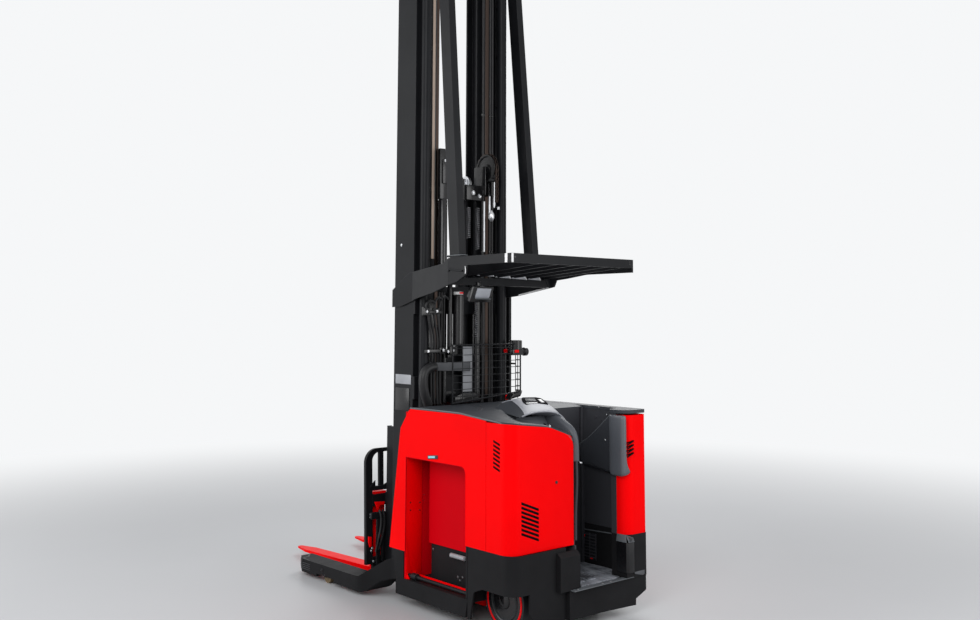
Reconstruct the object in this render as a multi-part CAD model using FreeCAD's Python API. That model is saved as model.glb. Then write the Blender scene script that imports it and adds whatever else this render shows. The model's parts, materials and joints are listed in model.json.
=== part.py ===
import FreeCAD, Part
import math
import os

# Stand-up reach truck. Millimetres, X forward along the forks, Y to the operator's left, Z up.
# The sizes below are measured from the rear face of the step, the centre line and the floor;
# every shape is moved to the middle of the truck's length when it is written.

V = FreeCAD.Vector

# --- clearances
fit = 0.3                   # between a moving piece and the seat that carries it
play = 6.0                  # between pieces that pass each other

# --- red body
half_width = 533.5
sheet = 6.0
skirt_top_z = 473.0
cover_rear_x = 50.0
cover_corner_r = 80.0
cover_seam_x = 267.0
cover_entry_y = 24.0
cover_top_z = 1216.0
cover_fall = (              # where the cover's top edge turns: y, drop and corner radius
    (515.0, 0.0, 0.0),
    (220.0, 35.0, 250.0),
    (38.0, 99.0, 40.0),
    (24.0, 156.0, 50.0),
)
shoulder_x, shoulder_z = 517.0, 1245.0
peak_x, peak_z = 1046.0, 1243.0
wall_top_z = 1223.0         # front wall of the bay, under the deck
rear_wall_top_z = 1100.0
brow_x, brow_z = 1145.0, 1114.0
toe_x, toe_z = 1255.0, 338.0
seam_top_z = 1224.0
seam_gap = 3.0
seam_fall = 0.6             # share of the cover's fall that the deck still has at the seam

# --- battery compartment
bay_rear_x, bay_front_x = 462.0, 1080.0
bay_floor_z, bay_top_z = 165.0, 935.0
bay_corner_r = 46.0
wall = 14.0                 # plate walls of the frame
battery_length, battery_width, battery_height = 520.0, 800.0, 520.0
battery_rear_gap = 18.0
battery_lift = 223.0        # case bottom above the bay floor, on its black tray
tray_inset = 12.0
gate_y, gate_z, gate_radius = 500.0, 187.0, 12.0
gate_bush_x, gate_bush_radius, gate_bush_length = 985.0, 22.0, 46.0
wall_hole_radius = 5.0
wall_hole_y, wall_hole_z = (487.0, 385.0), (640.0, 676.0)

# --- black lower bodywork
sill_thickness = 34.0
sill_low_z = 60.0
sill_rear_x, sill_front_x = 436.0, 1178.0
skirt_sheet = 12.0
skirt_rear_x = 30.0
skirt_low_z = 60.0
arch_front_x, arch_crown_x = 436.0, 330.0
arch_rear_crown_y, arch_rear_foot_y = 466.0, 350.0
arch_crown_z = 250.0
step_left_y = 110.0
step_bend_x, step_bend_y = -6.0, -168.0
step_right_x = -46.0
step_top_z, step_low_z = 228.0, 58.0
step_sheet = 12.0
step_corner_r = 22.0
step_chamfer_y, step_chamfer_z, step_lip_z = 100.0, 88.0, 38.0
block_left_y, block_right_y = 187.0, 24.0
block_top_z, block_depth, block_bevel = 450.0, 34.0, 26.0
mat_thickness = 8.0
mat_inset = 14.0
pedal_x, pedal_y = 70.0, (-196.0, -86.0)
pedal_length, pedal_width, pedal_height = 150.0, 90.0, 6.0
entry_sheet = 12.0
entry_inner_y = cover_entry_y - entry_sheet

# --- operator's right wall
inner_wall_y = -454.0
wall_front_x = 741.0
rim_z, rim_height = 1231.0, 22.0
cap_lip = 3.0               # the cap stands this far over the wall's inner faces
right_post_y = -350.0
right_post_x, post_outer_x = -36.0, -44.0
post_bend_r, post_corner_r = 80.0, 22.0
post_seam_x = 30.0
wall_sheet = 8.0
post_jog_x = 90.0           # where the inner wall steps back beside the post
right_post_low_z, right_post_top_z = 487.0, 1221.0
lower_post_proud = 4.0
bumper_x, bumper_y = 50.0, -412.0
bumper_low_top_z, bumper_high_top_z = 438.0, 478.0
pad_thickness = 34.0
pad_low_z, pad_notch_z, pad_top_z = 838.0, 1005.0, 1222.0
pad_notch_x = 436.0
roll_front_x, roll_rear_x = 86.0, -24.0

# --- cooling slots, given by both ends of the top slot
slot_pitch = 24.6
cover_side_slots = ((199.0, 1113.0), (146.0, 1094.0), 7, 9.0)       # x, z and x, z, count, width
cover_rear_slots = ((443.0, 765.0), (316.0, 713.0), 8, 12.0)        # y, z and y, z
post_slots = ((-348.0, 1037.0), (-415.0, 1060.0), 4, 9.0)

# --- deck and console
deck_sheet = 8.0
hood_low_z = 1150.0
hood_sections = (           # x, then left foot y, left crest y and z, right crest y and z, right foot y
    (690.0, 165.0, 150.0, 1256.0, -80.0, 1256.0, -95.0),
    (600.0, 190.0, 105.0, 1300.0, -60.0, 1300.0, -104.0),
    (480.0, 220.0, 130.0, 1322.0, -55.0, 1322.0, -106.0),
    (340.0, 268.0, 170.0, 1286.0, -50.0, 1286.0, -92.0),
    (205.0, 318.0, 250.0, 1253.0, -12.0, 1232.0, -62.0),
)
scoop_front_x = 330.0       # hollow under the hood's lip, open to the steering bowl
scoop_section = ((282.0, 1228.0), (236.0, 1240.0), (60.0, 1230.0), (-4.0, 1204.0))
cheek_left_y, cheek_right_y = 38.0, -30.0
cheek_crest = (             # x and z of the wall between the bowl and the operator
    (300.0, 1262.0), (245.0, 1250.0), (188.0, 1226.0), (125.0, 1197.0), (72.0, 1168.0), (46.0, 1132.0), (34.0, 1090.0),
    (30.0, 1030.0), (30.0, 992.0),
)
bowl_x, bowl_y = (80.0, 330.0), (62.0, 288.0)
bowl_floor_z = 1100.0
bowl_sheet = 6.0
lining_thickness = 12.0
display_width, display_thickness = 160.0, 9.0
display_rear_x, display_front_x, display_y = 346.0, 474.0, 42.0
tiller_x, tiller_y = 170.0, 170.0
tiller_radius, tiller_thickness = 78.0, 16.0
tiller_stem_radius, tiller_stem_height = 16.0, 24.0
tiller_knob_radius, tiller_knob_height, tiller_knob_y = 16.0, 26.0, 48.0

# --- drive wheel and caster
drive_x, drive_y = 255.0, 330.0
drive_radius, drive_width = 171.5, 140.0
drive_rim_radius = 112.0
drive_axle_radius = 24.0
turntable_radius, turntable_thickness = 120.0, 24.0
yoke_clear = 12.0           # above and beside the drive tyre
gearcase_thickness = 38.0
drive_deck_z = 392.0
motor_radius, motor_height = 115.0, 380.0
caster_x, caster_y = 250.0, -330.0
caster_radius, caster_width = 72.0, 56.0
caster_trail = 32.0
caster_plate_radius = 48.0
caster_plate_thickness = 14.0
caster_fork_thickness = 8.0
caster_axle_radius = 9.0

# --- base legs
leg_inner_y, leg_width = 490.0, 140.0
leg_tip_x, leg_bend_x = 2320.0, 1480.0
leg_tip_top_z, leg_bend_top_z, leg_root_top_z = 112.0, 124.0, 285.0
leg_low_z, leg_root_low_z = 26.0, 170.0
notch_front_x, notch_rear_x, notch_z = 2010.0, 1780.0, 46.0
load_wheel_radius, load_wheel_width = 49.0, 96.0
load_wheel_x = 1895.0
load_axle_radius = 12.0
wheel_room = 7.0

# --- mast: rails nest from the outside in, given for the left side
mast_top_z = 4650.0
rail_low_z = 70.0
outer_y, outer_rear_x, outer_front_x = 397.0, 1205.0, 1425.0
outer_web, outer_flange, outer_reach = 16.0, 18.0, 67.0
middle_web, middle_flange, middle_reach = 14.0, 16.0, 51.0
inner_web, inner_flange, inner_reach = 14.0, 14.0, 50.0
rail_rise = 30.0            # each nested rail stands this much shorter at both ends
roller_width = 38.0
tie_thickness = 18.0
nested_tie_thickness = 16.0
tie_height = 150.0
outer_tie_levels = (150.0, 1290.0, 1860.0, 4400.0)
nested_tie_levels = (140.0, 1430.0, 1900.0, 4440.0)
main_stroke = 3300.0
free_stroke = 3200.0
barrel_y = 346.0
barrel_radius, barrel_bore = 34.0, 27.0
gland = 60.0                # closer bore at a barrel's top that guides the rod
barrel_low_z, barrel_top_z = 150.0, 4330.0
rod_radius = 22.0
free_x, free_y = 1316.0, -105.0
free_barrel_radius, free_bore, free_rod_radius = 45.0, 37.0, 30.0
free_barrel_low_z, free_barrel_top_z = 165.0, 2680.0
sheave_radius, sheave_width, sheave_y = 55.0, 22.0, 36.0
chain_width, chain_thickness, chain_y = 24.0, 9.0, 215.0

# --- mast carriage and scissor reach
side_plate_y, side_plate_thickness = 178.0, 16.0
carriage_low_z, carriage_top_z = 110.0, 1075.0
pivot_x, pivot_z = 1490.0, 190.0
arm_length = 800.0
arm_offset = 104.0          # between the two fixed pivots at rest
arm_width, arm_plate = 80.0, 20.0
outer_arm_y, inner_arm_y = 252.0, 224.0
pin_radius = 20.0
guide_y, guide_web, guide_flange = 292.0, 8.0, 10.0
guide_roller_radius, guide_roller_width = 36.0, 24.0
reach_angle_max = 56.0

# --- fork frame
reach_plate = 12.0
reach_plate_top_z = 615.0
tilt_x, tilt_z = 1668.0, 560.0
tilt_rest = 2.0             # degrees that the fork frame leans forward at rest
shift_rest = 50.0           # the fork frame stands this far to the left at rest
tilt_pin_radius, tilt_lug_radius = 10.0, 13.0
tilt_lug_y, tilt_lug_thickness = 120.0, 25.0
tilt_plate_x, tilt_plate = 1684.0, 14.0
tilt_plate_half = 230.0
tilt_plate_low_z, tilt_plate_top_z = 110.0, 590.0
bar_thickness, bar_height = 24.0, 80.0
high_bar_z, low_bar_z = 520.0, 96.0
fork_spread = 260.0         # from the fork frame's middle to each fork's middle
fork_width = 102.0
fork_length = 1067.0
fork_thickness, fork_tip_thickness = 40.0, 12.0
fork_top_z = 100.0
fork_hook = 16.0
backrest_half = 380.0
backrest_post, backrest_rim = 54.0, 26.0
backrest_bar = 38.0
backrest_depth = 26.0
backrest_pitch = 124.0
backrest_low_z, backrest_mid_z, backrest_top_z = 130.0, 625.0, 915.0
backrest_mid_height = 30.0
backrest_corner_r = 95.0

# --- overhead guard
guard_half = 533.0
guard_plate = 12.0
guard_top_z = 2212.0
guard_knee_x = 650.0
guard_shoulder_x, guard_shoulder_z = 722.0, 2177.0      # foot of the knee, where the plate becomes an arm
guard_arm_x, guard_arm_top_z = 1245.0, 2141.0
guard_gusset_x, guard_gusset_z = 462.0, 2096.0          # where the left plate deepens beside the roof
guard_arm_low_edge = ((560.0, 2056.0, 120.0), (862.0, 1998.0), (1157.0, 1960.0, 100.0), (1340.0, 1911.0, 80.0))
guard_knee_low_z = 2116.0
guard_mid_x = 470.0
guard_skirt_x, guard_skirt_low_z = 762.0, 2050.0    # deeper part of the right plate
guard_skirt_front_x, guard_skirt_front_z = 1060.0, 1993.0
guard_front_x, guard_front_top_z, guard_front_low_z = 1440.0, 2026.0, 1908.0
guard_rear_x = 45.0
guard_rear_low_z = 2156.0
guard_right_low_z = 2128.0
strut_length, strut_width = 95.0, 55.0
strut_left_x, strut_right_x = 533.0, 869.0
strut_left_lean, strut_right_lean = 0.0765, 0.0932      # forward travel for each unit of rise
strut_bracket_drop, strut_bracket_height = 80.0, 40.0
strut_left_y, strut_right_y = 508.0, -455.0
strut_top_z = 4450.0
slat_count, slat_pitch, slat_right_y = 6, 147.0, -446.0
slat_thickness, slat_height, slat_low_z, slat_slope = 9.0, 52.0, 2100.0, 62.0
beam_x, beam_depth = 790.0, 50.0
beam_low_z, beam_top_z = 2048.0, 2096.0
lamp_x, lamp_y, lamp_z = 530.0, 357.0, 1945.0
lamp_width, lamp_height, lamp_depth = 120.0, 80.0, 70.0

# --- fittings behind the mast
mesh_x, mesh_left_y, mesh_right_y = 1010.0, 210.0, -435.0
mesh_top_z, mesh_rail, mesh_wire, mesh_pitch = 1650.0, 18.0, 8.0, 43.0
hose_radius = 9.0
chain_top_z = 4540.0
hose_low_z = 1200.0
left_hoses, left_hose_top_z = (200.0, 178.0, 156.0), 2010.0
right_hoses, right_hose_top_z = (-190.0, -254.0, -276.0), 4500.0


# --- helpers
def box(x, y, z):
    """A box between the low and high values of each pair."""
    return Part.makeBox(x[1] - x[0], y[1] - y[0], z[1] - z[0], V(x[0], y[0], z[0]))


def unit(a, b):
    length = math.hypot(b[0] - a[0], b[1] - a[1])
    return ((b[0] - a[0]) / length, (b[1] - a[1]) / length)


def corner(before, at, after):
    """Start, middle and end of the arc that rounds one corner, or the bare corner three times."""
    if len(at) < 3 or at[2] <= 0:
        return (at[:2], at[:2], at[:2])
    radius = at[2]
    a, b = unit(at, before), unit(at, after)
    half = math.acos(max(-1.0, min(1.0, a[0] * b[0] + a[1] * b[1]))) / 2
    run = radius / math.tan(half)
    m = (a[0] + b[0], a[1] + b[1])
    size = math.hypot(m[0], m[1])
    reach = radius / math.sin(half) - radius
    start = (at[0] + a[0] * run, at[1] + a[1] * run)
    end = (at[0] + b[0] * run, at[1] + b[1] * run)
    middle = (at[0] + m[0] / size * reach, at[1] + m[1] / size * reach)
    return (start, middle, end)


def prism(points, axis, span):
    """A closed outline pushed along an axis. Points are (u, v) or (u, v, corner radius), where u and v
    are the other two axes in X, Y, Z order."""
    place = {
        "X": lambda p: V(span[0], p[0], p[1]),
        "Y": lambda p: V(p[0], span[0], p[1]),
        "Z": lambda p: V(p[0], p[1], span[0]),
    }[axis]
    push = {"X": V(1, 0, 0), "Y": V(0, 1, 0), "Z": V(0, 0, 1)}[axis] * (span[1] - span[0])
    count = len(points)
    corners = [corner(points[i - 1], points[i], points[(i + 1) % count]) for i in range(count)]
    edges = []
    for i, (start, middle, end) in enumerate(corners):
        if math.dist(start, end) > 1e-6:
            edges.append(Part.Arc(place(start), place(middle), place(end)).toShape())
        following = corners[(i + 1) % count][0]
        if math.dist(end, following) > 1e-6:
            edges.append(Part.LineSegment(place(end), place(following)).toShape())
    return Part.Face(Part.Wire(edges)).extrude(push)


def cylinder(radius, centre, axis, length):
    """A cylinder that starts at centre and runs along axis ("X", "Y" or "Z")."""
    way = {"X": V(1, 0, 0), "Y": V(0, 1, 0), "Z": V(0, 0, 1)}[axis]
    return Part.makeCylinder(radius, length, V(*centre), way)


def mirrored(shape):
    return shape.mirror(V(0, 0, 0), V(0, 1, 0))


def both(shape):
    """The shape and its mirror image across the centre line."""
    return [shape, mirrored(shape)]


def fused(first, *others):
    return first.fuse(list(others)).removeSplitter()


def turned(shape, centre, axis, degrees):
    copy = shape.copy()
    copy.rotate(V(*centre), V(*axis), degrees)
    return copy


def moved(shape, x=0.0, y=0.0, z=0.0):
    copy = shape.copy()
    copy.translate(V(x, y, z))
    return copy


def slot(width, first, second, axis, span):
    """A cutter with round ends, from first to second in the plane across axis."""
    along = unit(first, second)
    side = (-along[1] * width / 2, along[0] * width / 2)
    ends = [(first, -1), (first, 1), (second, 1), (second, -1)]
    outline = [(point[0] + way * side[0], point[1] + way * side[1]) for point, way in ends]
    caps = []
    for u, v in (first, second):
        centre = (span[0], u, v) if axis == "X" else (u, span[0], v)
        caps.append(cylinder(width / 2, centre, axis, span[1] - span[0]))
    return fused(prism(outline, axis, span), *caps)


def slot_row(row, axis, span):
    """A column of slots, one under another."""
    first, second, count, width = row
    return [
        slot(width, (first[0], first[1] - n * slot_pitch), (second[0], second[1] - n * slot_pitch), axis, span)
        for n in range(count)
    ]


# --- frame and bodywork
def frame_walls():
    """The two cross walls of the battery bay, and the bay's floor plate between them."""
    inside = half_width - sheet - 1.0
    rear = box((bay_rear_x - wall, bay_rear_x), (-inside, inside), (bay_floor_z, rear_wall_top_z))
    floor_half = half_width - sill_thickness
    floor = box((bay_rear_x - wall, bay_front_x + wall), (-floor_half, floor_half), (bay_floor_z - 30, bay_floor_z))
    return rear, floor


def front_wall():
    """Red wall between the battery and the mast, with fixing holes near each open side."""
    inside = half_width - sheet - 1.0
    plate = box((bay_front_x, bay_front_x + wall), (-inside, inside), (bay_floor_z, wall_top_z))
    holes = [
        cylinder(wall_hole_radius, (bay_front_x - 1, side * y, z), "X", wall + 2)
        for side in (-1, 1)
        for y in wall_hole_y
        for z in wall_hole_z
    ]
    return plate.cut(holes)


def sill(rear_x):
    """Left black sill under the battery opening, with the front post on its end."""
    inner = half_width - sill_thickness
    low = prism([(rear_x, bay_floor_z), (rear_x + 20, sill_low_z), (sill_front_x, sill_low_z),
                 (sill_front_x, bay_floor_z)], "Y", (inner, half_width))
    post = prism([(bay_front_x + wall, bay_floor_z), (sill_front_x, bay_floor_z),
                  (sill_front_x + 40, toe_z), (bay_front_x + wall, toe_z)], "Y", (inner, half_width))
    return fused(low, post)


def side_panel():
    """Left red side panel with the battery opening."""
    outline = [(cover_seam_x + seam_gap, skirt_top_z), (bay_rear_x, skirt_top_z), (bay_rear_x, bay_top_z, bay_corner_r),
               (bay_front_x, bay_top_z), (bay_front_x, toe_z), (toe_x, toe_z), (brow_x, brow_z, 30),
               (peak_x, peak_z, 40), (shoulder_x, shoulder_z), (cover_seam_x + seam_gap, seam_top_z)]
    return prism(outline, "Y", (half_width - sheet, half_width))


def cover_plan(x_rear, corner_r, inset, seam_x, entry_y):
    """Plan of the wrapped rear-left shell, inset from its outer face."""
    outer_y = half_width - inset
    return [(seam_x, outer_y), (x_rear + inset, outer_y, max(corner_r - inset, 5.0)),
            (x_rear + inset, entry_y)]


def wrapped_shell(x_rear, thickness, seam_x, entry_y, z):
    outer = cover_plan(x_rear, cover_corner_r, 0.0, seam_x, entry_y)
    inner = cover_plan(x_rear, cover_corner_r, thickness, seam_x, entry_y)
    return prism(outer + inner[::-1], "Z", z)


def fall_line(lift):
    """The line across the truck that the cover's top edge follows down to the entry."""
    line = [(half_width, cover_top_z + lift)]
    line += [(y, cover_top_z + lift - drop, radius) for y, drop, radius in cover_fall]
    return line


def below_cover_top():
    """Everything below the cover's top edge, which rounds down to the entry."""
    outline = [(half_width, 0)] + fall_line(0.0) + [(cover_entry_y, 0)]
    return prism(outline, "X", (cover_rear_x, cover_seam_x))


def rear_cover():
    """Wrapped red cover of the drive unit, with its two rows of cooling slots."""
    shell = wrapped_shell(cover_rear_x, sheet, cover_seam_x, cover_entry_y, (skirt_top_z, cover_top_z))
    side_slots = slot_row(cover_side_slots, "Y", (half_width - 2 * sheet, half_width + 1))
    rear_slots = slot_row(cover_rear_slots, "X", (cover_rear_x - 1, cover_rear_x + 2 * sheet))
    return shell.common(below_cover_top()).cut(side_slots + rear_slots)


def rear_skirt():
    """Black skirt round the rear left corner, open over the drive wheel."""
    shell = wrapped_shell(skirt_rear_x, skirt_sheet, arch_front_x, step_left_y, (skirt_low_z, skirt_top_z))
    side_gap = prism([(arch_front_x - 25, skirt_low_z - 1), (arch_crown_x + 50, arch_crown_z - 30, 20),
                      (arch_crown_x - 30, arch_crown_z, 30), (-100, arch_crown_z), (-100, skirt_low_z - 1)],
                     "Y", (400, half_width + 10))
    rear_gap = prism([(half_width + 50, arch_crown_z), (arch_rear_crown_y, arch_crown_z, 30),
                      (arch_rear_foot_y, skirt_low_z - 1), (half_width + 50, skirt_low_z - 1)],
                     "X", (-50, 200))
    return shell.cut([side_gap, rear_gap])


def right_shell():
    """Right red side: the wall panel from the rear post to the mast, with its battery opening."""
    seam_x = post_seam_x + seam_gap
    outline = [(seam_x, right_post_low_z), (bay_rear_x, right_post_low_z), (bay_rear_x, bay_top_z, bay_corner_r),
               (bay_front_x, bay_top_z), (bay_front_x, toe_z), (toe_x, toe_z), (brow_x, brow_z, 30),
               (peak_x, peak_z, 40), (wall_front_x + 30, peak_z), (wall_front_x, rim_z), (seam_x, rim_z)]
    return prism(outline, "Y", (-half_width, -half_width + sheet))


def step_depth():
    """How far forward the step block reaches, to the bay's rear wall."""
    return bay_rear_x - wall


def step_block():
    """Hollow black step: a tread over an outer wall, open below for the caster."""
    front = step_depth()
    outline = [(step_right_x, -half_width, step_corner_r), (step_bend_x, step_bend_y, 900), (0, step_left_y),
               (front, step_left_y), (front, -half_width)]
    inner = [(step_right_x + step_sheet, -half_width + step_sheet, step_corner_r - step_sheet),
             (step_bend_x + step_sheet, step_bend_y, 900), (step_sheet, step_left_y - step_sheet),
             (front - step_sheet, step_left_y - step_sheet), (front - step_sheet, -half_width + step_sheet)]
    body = prism(outline, "Z", (step_low_z, step_top_z))
    hollow = prism(inner, "Z", (step_low_z - 1, step_top_z - step_sheet))
    out, low = -half_width - 1, step_low_z - 1
    lip_y = step_chamfer_y - half_width
    slope = prism([(out, low), (lip_y, low), (lip_y, step_low_z + step_lip_z), (out, step_low_z + step_chamfer_z)],
                  "X", (step_right_x - 1, front + 1))
    return body.cut([hollow, slope])


def corner_block():
    """Raised bumper block at the entry's left rear corner, with a bevelled top."""
    rear = skirt_rear_x - block_depth
    outline = [(rear, step_top_z), (skirt_rear_x, step_top_z), (skirt_rear_x, block_top_z),
               (rear + block_bevel, block_top_z), (rear, block_top_z - block_bevel)]
    return prism(outline, "Y", (block_right_y, block_left_y))


def floor_mat():
    """Rubber mat on the tread, with the two raised pedals."""
    rear, front = mat_inset, step_depth() - mat_inset
    left, right = entry_inner_y - mat_inset, inner_wall_y + mat_inset
    beside_post = right_post_y + mat_inset
    plan = [(rear, beside_post), (post_jog_x + mat_inset, beside_post), (post_jog_x + mat_inset, right),
            (front, right), (front, left), (rear, left)]
    mat = prism(plan, "Z", (step_top_z, step_top_z + mat_thickness))
    top = step_top_z + mat_thickness
    pedals = [
        box((pedal_x, pedal_x + pedal_length), (y, y + pedal_width), (top, top + pedal_height))
        for y in pedal_y
    ]
    return fused(mat, *pedals)


def entry_side():
    """Black inner wall between the entry and the drive unit, its top edge under the cover's."""
    rear = skirt_rear_x + skirt_sheet
    low = cover_rear_x + sheet
    top = cover_top_z - cover_fall[2][1] - fit
    outline = [(rear, step_top_z), (step_depth(), step_top_z), (step_depth(), top), (low, top), (low, skirt_top_z),
               (rear, skirt_top_z - sheet)]
    return prism(outline, "Y", (entry_inner_y, cover_entry_y))


def right_post():
    """Red rear post of the operator's right wall, wrapped round the corner, with its slots."""
    x, y, outer_x = right_post_x, -half_width, post_outer_x
    end_x = x + post_bend_r
    plan = [(post_seam_x, y), (outer_x, y, post_corner_r), (x, right_post_y, post_bend_r), (end_x, right_post_y),
            (end_x, right_post_y - sheet), (x + sheet, right_post_y - sheet, post_bend_r - sheet),
            (outer_x + sheet, y + sheet, post_corner_r - sheet), (post_seam_x, y + sheet)]
    shell = prism(plan, "Z", (right_post_low_z, right_post_top_z))
    return shell.cut(slot_row(post_slots, "X", (outer_x - 1, x + post_bend_r / 2)))


def lower_post():
    """Black foot of the right rear post, with its square upright bumper."""
    x, outer_x = right_post_x - lower_post_proud, post_outer_x - lower_post_proud
    plan = [(step_depth(), -half_width), (outer_x, -half_width, post_corner_r),
            (x, right_post_y, post_bend_r), (post_jog_x, right_post_y), (post_jog_x, inner_wall_y),
            (step_depth(), inner_wall_y)]
    body = prism(plan, "Z", (step_top_z, right_post_low_z))
    side = [(x, step_top_z), (x, bumper_low_top_z), (bumper_x, bumper_high_top_z), (bumper_x, step_top_z)]
    return fused(body, prism(side, "Y", (bumper_y, right_post_y)))


def inner_wall():
    """Black inner panel of the right wall, from the post's edge to the bay."""
    x = right_post_x + post_bend_r
    plate = wall_sheet
    plan = [(x, right_post_y), (post_jog_x, right_post_y), (post_jog_x, inner_wall_y),
            (step_depth(), inner_wall_y), (step_depth(), inner_wall_y - plate),
            (post_jog_x - plate, inner_wall_y - plate), (post_jog_x - plate, right_post_y - plate),
            (x, right_post_y - plate)]
    return prism(plan, "Z", (right_post_low_z, rim_z))


def front_lining():
    """Black lining of the bay's rear wall, in front of the operator."""
    return box((step_depth() - lining_thickness, step_depth()), (inner_wall_y + pad_thickness, entry_inner_y),
               (step_top_z, shoulder_z - deck_sheet))


def rim_cap():
    """Grey cap along the top of the right wall, swept round the rear post."""
    x, y = right_post_x - lower_post_proud, right_post_y + cap_lip
    plan = [(post_outer_x - lower_post_proud, -half_width, post_corner_r), (x, y, post_bend_r), (post_jog_x + 20, y, 30),
            (post_jog_x + 30, inner_wall_y + cap_lip, 30), (wall_front_x, inner_wall_y + cap_lip),
            (wall_front_x, -half_width)]
    return prism(plan, "Z", (rim_z, rim_z + rim_height))


def wall_pad():
    """Padded panel on the right wall, its top edge falling to a notch, and the roll round the post's edge."""
    face = inner_wall_y + pad_thickness
    side = prism([(post_jog_x, pad_low_z, 20), (post_jog_x, pad_top_z), (post_jog_x + pad_thickness * 2, pad_top_z),
                  (pad_notch_x - 60, pad_notch_z + 30, 60), (pad_notch_x, pad_notch_z),
                  (step_depth() - fit, pad_notch_z - 20), (step_depth() - fit, pad_low_z + pad_thickness)],
                 "Y", (inner_wall_y, face))
    roll = prism([(roll_front_x, right_post_y), (roll_rear_x, right_post_y), (roll_rear_x, right_post_y + pad_thickness, 30),
                  (post_jog_x + pad_thickness, right_post_y + pad_thickness, 15), (post_jog_x + pad_thickness, face),
                  (post_jog_x, face), (post_jog_x, right_post_y)], "Z", (pad_low_z, pad_top_z))
    return fused(roll, side)


def fallen_section(x, lift, share, low_z=None):
    """Section of the rear deck across the truck at x, with a share of the cover's fall to the entry."""
    line = [(half_width, cover_top_z + lift)]
    line += [(y, cover_top_z + lift - drop * share) for y, drop, radius in cover_fall[:-1]]
    upper = [V(x, y, z + deck_sheet) for y, z in line]
    lower = [V(x, y, z if low_z is None else low_z) for y, z in line[::-1]]
    return Part.makePolygon(upper + lower + upper[:1])


def fallen_deck(low_z=None):
    """Rear deck as a sheet, or everything from a level up to its top."""
    seam_lift = seam_top_z - cover_top_z
    sections = [fallen_section(cover_rear_x, 0.0, 1.0, low_z), fallen_section(cover_seam_x, seam_lift, seam_fall, low_z),
                fallen_section(shoulder_x, shoulder_z - cover_top_z, 0.0, low_z)]
    return Part.makeLoft(sections, True, True)


def bowl():
    """Steering bowl let into the rear deck: its walls and floor, up to the deck's top."""
    rim = bowl_sheet
    outside = box((bowl_x[0] - rim, bowl_x[1] + rim), (bowl_y[0] - rim, bowl_y[1] + rim), (bowl_floor_z - rim, shoulder_z))
    return outside.common(fallen_deck(bowl_floor_z - rim))


def bowl_room():
    return box(bowl_x, bowl_y, (bowl_floor_z, shoulder_z + 2 * deck_sheet))


def deck():
    """Slate grey top deck, level over the battery and falling to the entry over the drive unit."""
    level = prism([(shoulder_x, shoulder_z), (peak_x, peak_z), (peak_x, peak_z + deck_sheet),
                   (shoulder_x, shoulder_z + deck_sheet)], "Y", (-half_width, half_width))
    beside_rim = box((shoulder_x - 1, wall_front_x), (-half_width - 1, inner_wall_y + cap_lip),
                     (0, shoulder_z + 2 * deck_sheet))
    bridge = prism([(step_depth() - lining_thickness, shoulder_z - deck_sheet), (shoulder_x, shoulder_z),
                    (shoulder_x, shoulder_z + deck_sheet), (step_depth() - lining_thickness, shoulder_z)],
                   "Y", (inner_wall_y + cap_lip, cheek_left_y))
    rear = fused(fallen_deck(), bowl()).cut(bowl_room())
    x, y, r = cover_rear_x, half_width, cover_corner_r
    corner_round = prism([(x - 1, y + 1), (x - 1, y - r), (x, y - r), (x, y, r), (x + r, y), (x + r, y + 1)],
                         "Z", (cover_top_z - deck_sheet, shoulder_z + 2 * deck_sheet))
    return fused(level.cut(beside_rim), rear, bridge).cut(corner_round)


def hood_section(x, left_foot, left_y, left_z, right_y, right_z, right_foot):
    """Section of the console hood across the truck at x, down to its low edge."""
    middle_z = (left_z + right_z) / 2 + 1.0
    points = [V(x, left_foot, hood_low_z), V(x, left_foot, shoulder_z - deck_sheet), V(x, left_y, left_z),
              V(x, (left_y + right_y) / 2, middle_z), V(x, right_y, right_z), V(x, right_foot, shoulder_z - 6 * deck_sheet),
              V(x, right_foot, hood_low_z)]
    return Part.makePolygon(points + points[:1])


def cheek():
    """Wall between the steering bowl and the operator, its top falling to the entry."""
    low_z = cheek_crest[-1][1]
    outline = list(cheek_crest) + [(step_depth(), low_z), (step_depth(), cheek_crest[0][1])]
    wall_plate = prism(outline, "Y", (cheek_right_y, cheek_left_y))
    beside_entry = box((0, step_depth() + 1), (entry_inner_y, cheek_left_y + 1), (0, cover_top_z - cover_fall[2][1]))
    return wall_plate.cut(beside_entry)


def hood():
    """Console hood: a broad crown over the dash, its rear lip over the steering bowl, and the bowl's cheek."""
    crown = Part.makeLoft([hood_section(*row).Wires[0] for row in hood_sections], True, True)
    under_lip = prism(((scoop_section[0][0], bowl_floor_z),) + scoop_section + ((scoop_section[-1][0], bowl_floor_z),),
                      "X", (hood_sections[-1][0] - 1, scoop_front_x))
    front_of_wall = box((step_depth() - lining_thickness, hood_sections[0][0] + 1), (-half_width, half_width),
                        (0, shoulder_z - deck_sheet))
    return fused(crown.cut(under_lip), cheek()).cut([deck_body(), front_of_wall])


def deck_body():
    """Everything from under the bowl up to the deck's top, with the bowl's room."""
    level = box((shoulder_x, hood_sections[0][0] + 1), (-half_width, half_width), (bowl_floor_z, shoulder_z + deck_sheet))
    bridge = prism([(step_depth() - lining_thickness, bowl_floor_z), (shoulder_x, bowl_floor_z),
                    (shoulder_x, shoulder_z + deck_sheet), (step_depth() - lining_thickness, shoulder_z)],
                   "Y", (-half_width, cheek_left_y))
    return fused(fallen_deck(bowl_floor_z - 2 * bowl_sheet), level, bridge)


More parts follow.
